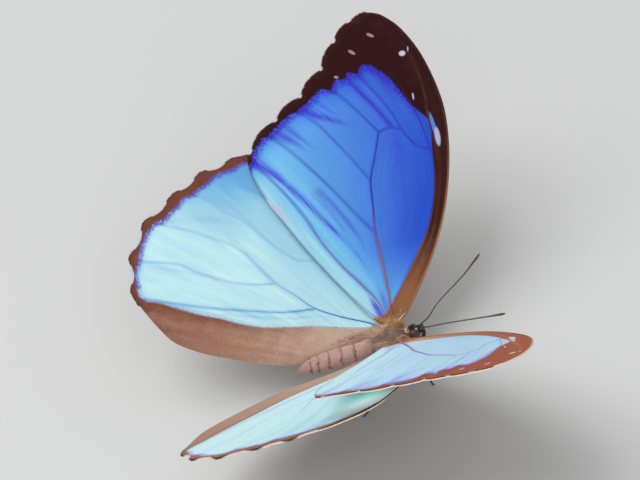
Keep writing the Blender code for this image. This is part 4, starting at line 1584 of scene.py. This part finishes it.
@dataclass
class Limbs:
    """Antennae, palps, proboscis and legs."""

    antennae: dict = field(default_factory=lambda: {
        Side.LEFT: ((0.58, 4.55, -0.75, 0.19), (0.6, 5.0, -0.4, 0.16), (1.4, 6.8, 0.05, 0.14),
                    (3.7, 9.5, 0.95, 0.13), (7.2, 15.5, 2.5, 0.14), (8.6, 18.0, 3.6, 0.2),
                    (9.3, 19.2, 4.15, 0.24), (9.7, 19.9, 4.5, 0.12)),
        Side.RIGHT: ((0.58, 4.55, -0.75, 0.19), (0.6, 5.0, -0.45, 0.16), (1.2, 6.6, -0.2, 0.14),
                     (3.4, 10.8, 1.0, 0.13), (7.0, 16.6, 2.9, 0.14), (8.4, 18.9, 3.65, 0.2),
                     (9.0, 19.9, 4.0, 0.24), (9.35, 20.5, 4.2, 0.12))})
    palp: Sequence = ((0.9, 4.0, -2.75, 0.2), (0.8, 4.62, -2.6, 0.27), (0.68, 4.98, -2.0, 0.28),
                      (0.56, 5.12, -1.3, 0.24), (0.48, 5.14, -0.65, 0.1))
    foreleg: Sequence = ((1.2, 1.6, -4.5, 0.22), (1.6, 2.9, -4.7, 0.28), (1.8, 4.2, -4.2, 0.24),
                         (1.6, 4.0, -3.4, 0.2), (1.45, 3.0, -3.25, 0.14))
    midleg: Sequence = ((1.2, 0.4, -4.6, 0.34), (2.2, 0.9, -5.6, 0.36), (4.2, 2.2, -4.4, 0.26),
                        (4.6, 2.5, -5.1, 0.22), (4.9, 3.1, -8.0, 0.18), (5.05, 3.3, -8.9, 0.16),
                        (5.3, 3.4, -9.24, 0.16), (7.3, 3.8, -9.27, 0.13))
    hindleg: Sequence = ((1.2, -2.4, -4.6, 0.34), (2.7, -3.3, -5.5, 0.36), (6.0, -6.2, -4.2, 0.26),
                         (6.7, -6.8, -4.9, 0.22), (7.9, -8.4, -8.2, 0.18), (8.3, -8.9, -8.95, 0.16),
                         (8.6, -9.2, -9.24, 0.16), (10.2, -10.6, -9.27, 0.13))
    coil: tuple[float, float] = (4.3, -4.0)  # f and z of the coil's centre
    coil_radii: tuple[float, float] = (1.05, 0.22)
    coil_turns: float = 2.2

    def build(self, looks: dict) -> None:
        """Every limb."""
        for side in Side:
            mirror = np.array([side.sign, 1.0, 1.0, 1.0])
            feeler = np.array(self.antennae[side]) * mirror
            self.limb(f"antenna_shaft_{side.value}", feeler, [f"antenna_{side.value}"], looks[FEELER], 90)
            palp = np.array(self.palp) * mirror
            self.limb(f"palp_core_{side.value}", palp, [f"palp_{side.value}"], looks[SHELL], 24, "body_hair")
            self.palp_hair(side, palp, looks)
            for name, path in (("foreleg", self.foreleg), ("midleg", self.midleg), ("hindleg", self.hindleg)):
                self.leg(name, side, np.array(path) * mirror, looks)
        self.proboscis(looks)

    @staticmethod
    def limb(name: str, path: np.ndarray, nodes: Sequence[str], look: bpy.types.Material, steps: int,
             slot: str = "limb_shell") -> bpy.types.Object:
        """One round limb along a path of (x, f, z, radius)."""
        line = even(curve_through(path), steps)
        piece = tube(name, line[:, :3], line[:, 3], 12)
        paint(piece.data, "place", body_places(piece.data))
        add_piece(piece, nodes, slot, look)
        return piece

    def leg(self, name: str, side: Side, path: np.ndarray, looks: dict) -> None:
        """A leg with its joints, and its spines and claws in a piece of their own."""
        line = even(curve_through(path), 110)
        share = np.linspace(0, 1, len(line))
        joints = lengths_along(curve_through(path)[::24, :3])
        joints = joints / joints[-1]
        for at in joints[1:-1]:
            line[:, 3] *= 1 - 0.22 * hill(share, at, 0.012)
        for at in np.linspace(joints[-2] if len(joints) > 5 else 0.8, 1, 5)[:-1]:
            line[:, 3] *= 1 - 0.25 * hill(share, at, 0.008)
        piece = tube(f"{name}_shell_{side.value}", line[:, :3], line[:, 3], 12)
        paint(piece.data, "place", body_places(piece.data))
        add_piece(piece, [f"{name}_{side.value}"], "limb_shell", looks[SHELL])
        self.spines(name, side, line, looks)

    @staticmethod
    def spines(name: str, side: Side, line: np.ndarray, looks: dict) -> None:
        """Fine hairs all along a leg, and two claws at its end."""
        rng = np.random.default_rng(11)
        count = 700
        at = rng.uniform(2, len(line) - 3, count).astype(int)
        ahead = line[at + 1, :3] - line[at - 1, :3]
        ahead = unit(ahead)
        out = unit(np.cross(ahead, rng.normal(0, 1, (count, 3))))
        root = line[at, :3] + out * line[at, 3:] * 0.85
        keep = root[:, 2] > -9.1
        root, out, ahead, at = root[keep], out[keep], ahead[keep], at[keep]
        count = len(root)
        length = rng.uniform(0.18, 0.42, count)
        lift = rng.uniform(15, 40, count)
        claw_way = line[-1, :3] - line[-6, :3]
        claw_way /= np.linalg.norm(claw_way)
        beside = np.cross(claw_way, [0, 0, 1])
        for turn in (-1, 1):
            root = np.vstack([root, line[-1, :3] + beside * turn * 0.05 + [0, 0, 0.1]])
            ahead = np.vstack([ahead, claw_way + beside * turn * 0.7])
            out = np.vstack([out, [0, 0, 1]])
            length, lift = np.append(length, 0.5), np.append(lift, 4.0)
        width = np.append(np.full(count, 0.05), [0.13, 0.13])
        map_place = rng.uniform(0, 1, (count + 2, 2))
        piece = Tufts(root, ahead, out, length, width, lift, map_place, 0.5).build(
            f"{name}_spines_{side.value}", place=root, shade=rng.uniform(0, 1, count + 2),
            along=np.zeros(count + 2))
        add_piece(piece, [f"{name}_{side.value}"], "limb_shell", looks[SHELL])

    @staticmethod
    def palp_hair(side: Side, path: np.ndarray, looks: dict) -> None:
        """The dark hair of a palp, longest in front."""
        rng = np.random.default_rng(13)
        line = even(curve_through(path), 60)
        count = 1100
        at = rng.integers(2, 58, count)
        ahead = line[at + 1, :3] - line[at - 1, :3]
        out = unit(np.cross(ahead, rng.normal(0, 1, (count, 3))))
        root = line[at, :3] + out * line[at, 3:] * 0.8
        length = rng.uniform(0.2, 0.46, count)
        map_place = np.column_stack([rng.uniform(0, 1, count), at / 60])
        lift = rng.uniform(12, 35, count)
        shade = np.clip(rng.uniform(0, 0.86, count) + (at > 46) * 0.4, 0, 1)
        piece = Tufts(root, ahead, out, length, np.full(count, 0.07), lift, map_place).build(
            f"palp_hair_{side.value}", shade=shade)
        add_piece(piece, [f"palp_{side.value}"], "body_hair", looks[PALP])

    def proboscis(self, looks: dict) -> None:
        """The coiled tongue, a spiral tube."""
        part = np.linspace(0, 1, 120)
        angle = math.radians(70) - part * self.coil_turns * math.tau
        radius = self.coil_radii[0] + (self.coil_radii[1] - self.coil_radii[0]) * part
        path = np.column_stack([0.06 * np.sin(part * 9), self.coil[0] + radius * np.cos(angle),
                                self.coil[1] + radius * np.sin(angle), 0.13 - 0.05 * part])
        start = np.array([[0.0, 4.35, -2.2, 0.14], [0.0, 4.55, -2.6, 0.14]])
        self.limb("proboscis_coil", np.vstack([start, path[::6]]), ["proboscis"], looks[SHELL], 160)


@dataclass
class WingBaseHair:
    """Golden and taupe hair that spreads from the hinges over the wing bases."""

    count: int = 2400

    @staticmethod
    def build_bristles(wing: Wing, side: Side, looks: dict) -> None:
        """A few long cream bristles over the forewing's hinge."""
        root = np.array([[-0.7, 0.8], [-0.5, 0.7], [-0.1, -2.7], [0.1, -2.9], [-0.9, 1.4]])
        tip = np.array([[1.1, 3.2], [0.4, 2.3], [-1.7, -1.6], [-1.3, -1.9], [0.0, 2.6]])
        place = wing.surface(side, root, 0.8)
        lie = wing.surface(side, tip, 1.2) - place
        up = wing.surface(side, root, 1.75) - place
        width = np.array([0.22, 0.14, 0.22, 0.14, 0.12])
        hair = Tufts(place, lie, up, np.linalg.norm(lie, axis=1), width, np.full(5, 2.0), root / 4 + 1).build(
            f"hinge_bristles_{side.value}", shade=np.linspace(1, 0, 5))
        add_piece(hair, ["thorax"], "body_hair", looks[CREAM])

    def build(self, wings: Sequence[Wing], looks: dict) -> None:
        """The hair on the base of each wing's upper face."""
        for wing in wings:
            fore = wing.kind == "forewing"
            for side in Side:
                if fore and side is Side.LEFT:
                    self.build_bristles(wing, side, looks)
                rng = np.random.default_rng(17)
                share = rng.uniform(0, 1, self.count) ** 1.9 * rng.uniform(0.7, 1.15, self.count)
                if fore:
                    turn = rng.uniform(-46, 60, self.count)
                    reach = 1.4 + 2.2 * hill(turn, -42, 12) + 2.4 * hill(turn, 46, 13)
                    origin, length = np.array([-1.4, -0.1]), rng.uniform(0.6, 1.3, self.count)
                else:
                    turn = rng.uniform(-99, -38, self.count)
                    reach = 2.0 + 7.5 * hill(turn, -84, 13)
                    origin, length = np.array([-1.2, -1.6]), rng.uniform(0.8, 1.9, self.count)
                turn = np.radians(turn)
                way = np.column_stack([np.cos(turn), np.sin(turn)])
                flat = origin + way * (0.7 + share * reach)[:, None]
                way = way + rng.normal(0, 0.22, way.shape)
                high = wing.thickness / 2 - 0.02
                root = wing.surface(side, flat, high)
                lie = wing.surface(side, flat + way * 0.1, high) - root
                up = wing.surface(side, flat, high + 0.5) - root
                map_place = (flat - flat.min(axis=0)) / np.ptp(flat, axis=0)
                shade = rng.uniform(0, 1, self.count)
                piece = Tufts(root, lie, up, length * (1.15 - 0.5 * share), np.full(self.count, 0.075),
                              rng.uniform(1, 14, self.count), map_place).build(
                    f"{wing.kind}_base_hair_{side.value}", shade=shade)
                add_piece(piece, [f"{wing.kind}_{side.value}"], wing.slot, looks[GOLD if fore else TAUPE])


# ---------------------------------------------------------------- finishes in use

WHITE = (0.84, 0.80, 0.84)
PINK = (0.40, 0.27, 0.31)
MIST = (0.50, 0.51, 0.72)
FRINGE = FringeFinish("wing_fringe")
HEM = HemFinish("wing_front_hem")
SKIN = HairFinish("body_skin_hair", bumpy=0.00008)
COAT = HairFinish("body_coat_hair")
GOLD = TuftFinish("golden_hair", ((0.0, (0.34, 0.12, 0.045)), (0.4, (0.60, 0.28, 0.11)),
                                  (0.8, (0.80, 0.44, 0.19)), (1.0, (0.86, 0.54, 0.27))))
TAUPE = TuftFinish("taupe_hair", ((0.0, (0.56, 0.35, 0.27)), (0.6, (0.82, 0.54, 0.43)),
                                  (0.85, (0.94, 0.64, 0.38)), (1.0, (1.0, 0.78, 0.44))))
PALP = TuftFinish("palp_bristles", ((0.0, (0.018, 0.012, 0.009)), (0.8, (0.07, 0.045, 0.036)),
                                    (0.9, (0.42, 0.25, 0.18)), (1.0, (0.84, 0.64, 0.52))))
CREAM = TuftFinish("cream_bristles", ((0.0, (0.74, 0.62, 0.48)), (1.0, (0.90, 0.82, 0.72))))
EYE = EyeFinish()
SHELL = ShellFinish("limb_horn")
FEELER = ShellFinish("feeler_horn", rings=42.0)
FORE_TOP = WingTop(
    "forewing_blue_scales",
    blues=((0.0, (0.46, 0.78, 0.88)), (0.08, (0.27, 0.62, 0.84)), (0.17, (0.20, 0.55, 0.83)),
           (0.33, (0.125, 0.38, 0.80)), (0.55, (0.085, 0.25, 0.76)), (0.78, (0.050, 0.145, 0.68)),
           (1.0, (0.024, 0.085, 0.56))),
    mottled=0.3,
    browns=((0.0, (0.034, 0.0085, 0.010)), (0.35, (0.062, 0.018, 0.014)), (0.7, (0.17, 0.065, 0.035)),
            (1.0, (0.30, 0.135, 0.065))),
    spots=(((52.8, 17.65), (0.6, 0.7), 0.0, (0.66, 0.63, 0.76)), ((53.4, 19.0), (0.6, 0.14), 15.0, MIST),
           ((43.4, 17.1), (0.8, 0.2), 8.0, MIST), ((58.4, 12.7), (0.36, 0.85), 42.0, PINK),
           ((56.0, 8.2), (0.36, 0.85), 48.0, PINK), ((51.9, 3.8), (0.3, 0.5), 30.0, PINK),
           ((28.6, -15.1), (3.4, 0.5), -24.0, (0.56, 0.60, 0.80)),
           ((36.2, 19.15), (3.1, 0.42), 1.0, (0.12, 0.26, 0.70)), ((33.9, 19.25), (2.1, 0.56), 8.0, MIST)))
FORE_UNDER = WingUnder(
    "forewing_under_scales",
    eyes=(((44.5, 13.0), 2.3), ((45.5, 7.0), 1.7), ((42.5, -4.5), 3.2), ((38.5, -10.5), 2.6)),
    bars=(((17.0, 6.0), (1.3, 4.5), 20.0), ((27.0, 9.5), (1.2, 5.5), 20.0), ((33.5, 6.0), (1.4, 9.0), 12.0),
          ((48.0, 15.0), (1.0, 3.0), 20.0)))
HIND_TOP = WingTop(
    "hindwing_blue_scales",
    blues=((0.0, (0.65, 0.91, 0.93)), (0.1, (0.53, 0.82, 0.86)), (0.22, (0.43, 0.73, 0.83)),
           (0.42, (0.37, 0.66, 0.80)), (0.75, (0.21, 0.50, 0.76)), (1.0, (0.14, 0.38, 0.72))),
    violet=(0.13, 0.06, 0.60), stream=(0.12, 0.38, 0.74), glow=0.6, rimmed=1.25, fibrous=0.36,
    ink=(0.10, 0.34, 0.74), inked=0.2,
    browns=((0.0, (0.185, 0.058, 0.038)), (0.35, (0.27, 0.105, 0.068)), (0.7, (0.43, 0.235, 0.165)),
            (1.0, (0.62, 0.43, 0.33))),
    sheens=((0.72, 1.0, 1.0), (0.50, 0.22, 0.13), (0.52, 0.95, 0.98)),
    flame=(0.58, 0.38, 0.28), ragged=0.2, soft=0.3, mottled=0.3,
    # Painted light: the glow's colours in the forewing's shadow, near and far.
    through=((0.17, 0.54, 0.52), (0.50, 0.66, 0.64)))
HIND_UNDER = WingUnder(
    "hindwing_under_scales",
    eyes=(((19.5, -7.5), 4.3), ((30.5, -28.0), 3.6), ((26.5, -34.0), 3.0), ((20.0, -37.5), 3.3)),
    bars=(((10.0, -10.0), (1.4, 6.0), 30.0), ((16.0, -19.0), (1.6, 9.0), 40.0), ((25.0, -17.0),
          (1.2, 6.0), 30.0)))
FORE_VEINS = VeinFinish("forewing_vein_horn", (0.38, 0.15, 0.17), (0.014, 0.030, 0.42))
HIND_VEINS = VeinFinish("hindwing_vein_horn", (0.10, 0.12, 0.52), (0.10, 0.36, 0.70))

FOREWING_VEINS = (
    Vein(((-0.4, 0.7), (1.5, 1.0), (3.9, 1.5), (6.2, 3.7), (9.8, 6.9), (13.9, 10.4), (18.0, 13.1),
          (23.0, 15.5), (27.5, 16.8), (31.9, 17.1)), 0.15, 0.09, 0.25, 0.5),
    Vein(((31.9, 17.1), (36.6, 17.0), (41.6, 16.3), (53.9, 13.5), (60.5, 11.4)), 0.13, 0.07, 0.3, 0.6),
    Vein(((31.9, 17.0), (33.0, 15.0), (35.3, 13.7), (37.5, 12.9), (41.6, 12.0), (45.7, 10.4), (49.4, 8.8),
          (51.8, 8.0), (60.6, 6.9)), 0.12, 0.05, 0.4, 0.6, 0.2),
    Vein(((38.2, 8.5), (38.4, 10.7), (37.5, 12.9)), 0.12, 0.10, 0.4, 0.5),
    Vein(((38.6, 11.2), (43.5, 9.2), (48.0, 7.0), (52.1, 5.1), (55.8, 3.0)), 0.06, 0.05, 0.8, 0.7),
    Vein(((38.2, 8.5), (43.5, 5.8), (47.1, 3.8), (50.0, 1.7), (52.6, -1.6)), 0.10, 0.05, 0.3, 0.5, 0.3),
    Vein(((-0.5, 0.0), (1.0, 0.1), (5.3, 0.8), (11.6, 1.4), (18.2, 1.9), (23.5, 3.0), (28.9, 4.1),
          (33.5, 6.3), (38.2, 8.5)), 0.29, 0.13, 0.2, 0.6),
    Vein(((28.9, 4.1), (34.4, 1.8), (38.9, -0.3), (43.5, -2.6), (47.1, -5.5), (48.4, -7.0)),
         0.085, 0.05, 0.3, 0.4, 0.6),
    Vein(((18.2, 1.9), (23.5, -0.8), (29.8, -3.8), (35.7, -7.0), (40.3, -9.7), (43.7, -12.2), (45.0, -13.3)),
         0.085, 0.05, 0.3, 0.4, 0.6),
    Vein(((-0.4, -0.6), (2.5, -1.1), (5.3, -1.8), (9.8, -4.0), (13.9, -6.2), (19.4, -8.5), (25.3, -10.2),
          (30.7, -12.3), (35.7, -14.8), (38.9, -16.8), (40.6, -17.5)), 0.16, 0.05, 0.35, 0.5, 0.9),
    Vein(((-0.5, -1.7), (7.0, -6.15), (17.7, -11.25), (29.5, -15.85), (36.5, -17.65), (40.7, -17.7)),
         0.085, 0.075, 0.0, 0.4),
)
FOREWING_STREAKS = (
    Streak(((40.9, 4.2), (42.6, 1.6), (44.2, -0.7), (45.8, -2.9), (47.6, -4.7)), 1.1, 0.95),
    Streak(((41.6, 3.4), (45.5, 0.6), (49.2, -2.2)), 0.4, 0.5),
    Streak(((39.0, -6.4), (41.5, -8.4), (44.4, -11.2)), 1.3, 0.85),
    Streak(((38.5, -4.4), (42.2, -7.0), (46.0, -9.4)), 0.9, 0.6),
    Streak(((30.0, -10.2), (34.5, -12.7), (37.5, -14.8), (40.6, -16.9)), 1.5, 1.0),
    Streak(((10.0, -1.2), (17.5, -3.5), (23.0, -6.5), (28.0, -9.0), (32.5, -11.5)), 0.75, 0.75),
    Streak(((13.5, -0.3), (20.0, -1.9), (25.5, -4.0), (29.8, -6.2)), 0.8, 0.5),
    Streak(((18.0, -3.0), (24.5, -5.0), (30.0, -7.4)), 0.5, 0.35),
    Streak(((42.0, 13.6), (46.0, 12.6), (50.0, 11.6), (52.8, 9.8)), 1.1, 0.6),
    Streak(((6.5, -2.9), (4.0, -2.3), (1.6, -1.6)), 1.2, 1.0),
    Streak(((9.0, -0.6), (5.0, -0.4), (2.0, -0.5)), 1.0, 0.6),
    Streak(((22.0, 9.4), (30.0, 10.6), (36.0, 11.2)), 1.6, 0.3),
)
HINDWING_VEINS = (
    Vein(((-0.6, -2.2), (1.7, -4.0), (4.6, -8.9), (7.9, -13.5), (11.5, -16.4), (15.2, -19.4), (18.6, -21.3),
          (23.0, -23.5)), 0.17, 0.07, 0.5, 0.35),
    Vein(((23.0, -23.5), (25.6, -25.7), (28.1, -29.0), (30.8, -32.6), (35.0, -39.8)), 0.05, 0.03, 0.25, 0.35),
    Vein(((7.9, -13.5), (8.9, -19.0), (11.0, -25.0), (14.0, -32.5), (17.0, -39.0), (20.4, -46.0)),
         0.12, 0.09, 0.8, 0.4),
    Vein(((15.2, -19.4), (16.4, -24.0), (18.6, -28.5), (22.0, -33.5), (25.0, -37.0), (28.0, -44.9)),
         0.10, 0.055, 0.45, 0.3),
    Vein(((17.4, -9.6), (17.8, -12.2), (18.8, -14.4), (20.5, -16.0), (24.0, -18.4), (29.0, -21.5),
          (33.0, -25.4), (36.5, -28.0), (38.4, -31.6)), 0.06, 0.045, 0.2, 0.3),
    Vein(((25.0, -12.0), (33.4, -17.0), (37.0, -20.5), (39.6, -23.6), (41.5, -26.5)), 0.06, 0.05, 0.35, 0.35),
    Vein(((-0.4, -2.0), (8.0, -2.9), (18.0, -4.6), (28.0, -8.6), (38.0, -14.2), (42.2, -18.4)),
         0.15, 0.07, 0.2, 0.4),
)
HINDWING_STREAKS = (
    Streak(((22.8, -17.7), (27.2, -19.9), (31.8, -23.0), (35.5, -26.4), (37.4, -30.8)), 1.3, 0.3),
    Streak(((28.0, -20.8), (31.5, -27.0), (32.9, -31.6), (34.3, -36.0)), 1.1, 0.3),
    Streak(((31.0, -15.4), (35.2, -18.6), (38.9, -22.4)), 1.3, 0.5),
    Streak(((19.0, -29.0), (23.6, -37.0), (26.5, -43.6)), 0.8, 0.3),
    Streak(((4.6, -9.0), (6.3, -13.5), (7.6, -19.0), (9.6, -24.5), (12.2, -31.0)), 0.55, 0.5),
    Streak(((8.4, -24.2), (12.6, -32.4), (18.4, -43.0)), 0.6, 0.5),
)


def make_wings() -> tuple[Forewing, Hindwing]:
    """The two kinds of wing, each with both of its poses."""
    left, right = Side.LEFT, Side.RIGHT
    fore = Forewing("forewing", "forewing_scales", {left: (3.3, 0.0, 0.0), right: (3.3, 0.0, 0.0)},
                    {left: (32.7, 2.7, 0.0), right: (32.7, 2.7, 0.0)}, FOREWING_VEINS, FOREWING_STREAKS,
                    FORE_TOP, FORE_UNDER, FORE_VEINS)
    hind = Hindwing("hindwing", "hindwing_scales", {left: (3.37, 0.0, -1.24), right: (3.37, 0.8, -1.24)},
                    {left: (31.6, 1.6, 0.0), right: (28.5, -2.6, -2.9)}, HINDWING_VEINS, HINDWING_STREAKS,
                    HIND_TOP, HIND_UNDER, HIND_VEINS)
    return fore, hind


# ---------------------------------------------------------------- studio


# Each lamp's place and size in metres, and its power in watts.
LAMPS = (("key", (0.20, 0.40, 0.85), 0.9, 5.5), ("fill", (-0.75, -0.1, 0.42), 0.8, 2.35))


@dataclass
class Studio:
    """The floor, the lights and the camera."""

    floor_size: float = 6.0
    # Where the camera looks from: the butterfly's right, 38 degrees up, rolled a little.
    elevation: float = 38.0
    roll: float = 17.161
    lens: float = 191.25
    camera_place: tuple[float, float, float] = (-500.27, -8.76, 417.64)  # (x, f, z)

    def build(self, look: bpy.types.Material) -> None:
        """Everything round the butterfly."""
        select_none()
        bpy.ops.mesh.primitive_plane_add(size=self.floor_size, location=(0, 0, 0))
        floor = bpy.context.object
        floor.name = "floor"
        floor.data.materials.append(look)
        self.build_lights()
        self.build_camera()

    def build_lights(self) -> None:
        """A large soft key, a fill and a pale surrounding."""
        world = bpy.data.worlds.new("studio")
        world.use_nodes = True
        sky = world.node_tree.nodes["Background"]
        sky.inputs["Color"].default_value = (0.93, 0.96, 1.0, 1.0)
        sky.inputs["Strength"].default_value = 0.45
        bpy.context.scene.world = world
        for name, place, size, power in LAMPS:
            lamp = bpy.data.lights.new(name, "AREA")
            lamp.shape, lamp.size, lamp.energy = "SQUARE", size, power
            made = bpy.data.objects.new(name, lamp)
            made.location = place
            made.rotation_euler = (Vector((0, 0, 0.02)) - Vector(place)).to_track_quat("-Z", "Y").to_euler()
            bpy.context.scene.collection.objects.link(made)

    def build_camera(self) -> None:
        """The camera, aimed by its own axes."""
        tilt = math.radians(90 - self.elevation)
        back = Vector((-math.sin(tilt), 0, math.cos(tilt)))
        level = Vector((0, -1, 0))
        rise = back.cross(level)
        roll = math.radians(self.roll)
        right = math.cos(roll) * level - math.sin(roll) * rise
        up = math.sin(roll) * level + math.cos(roll) * rise
        data = bpy.data.cameras.new("camera")
        data.lens, data.sensor_width = self.lens, 36.0
        data.clip_start, data.clip_end = 0.01, 20.0
        camera = bpy.data.objects.new("camera", data)
        turned = Matrix((right, up, back)).transposed().to_4x4()
        camera.matrix_world = Matrix.Translation(to_metres(np.array([self.camera_place]))[0]) @ turned
        bpy.context.scene.collection.objects.link(camera)
        bpy.context.scene.camera = camera
        bpy.context.scene.view_settings.view_transform = "Standard"


def main() -> None:
    """Builds the butterfly and its studio."""
    logging.basicConfig(level=logging.INFO, format="%(name)s: %(message)s")
    finishes = (FORE_TOP, FORE_UNDER, FORE_VEINS, HIND_TOP, HIND_UNDER, HIND_VEINS, FRINGE, HEM, SKIN, COAT,
                GOLD, TAUPE, PALP, CREAM, EYE, SHELL, FEELER)
    looks = {item: item.make() for item in finishes}
    wings = make_wings()
    for wing in wings:
        wing.prepare()
        for side in Side:
            wing.build(side, looks)
    body = Body()
    body.build(looks)
    Shoulders().build(body, looks)
    Eyes().build(looks)
    Limbs().build(looks)
    WingBaseHair().build(wings, looks)
    Studio().build(FloorFinish().make())


if __name__ == "__main__":
    main()
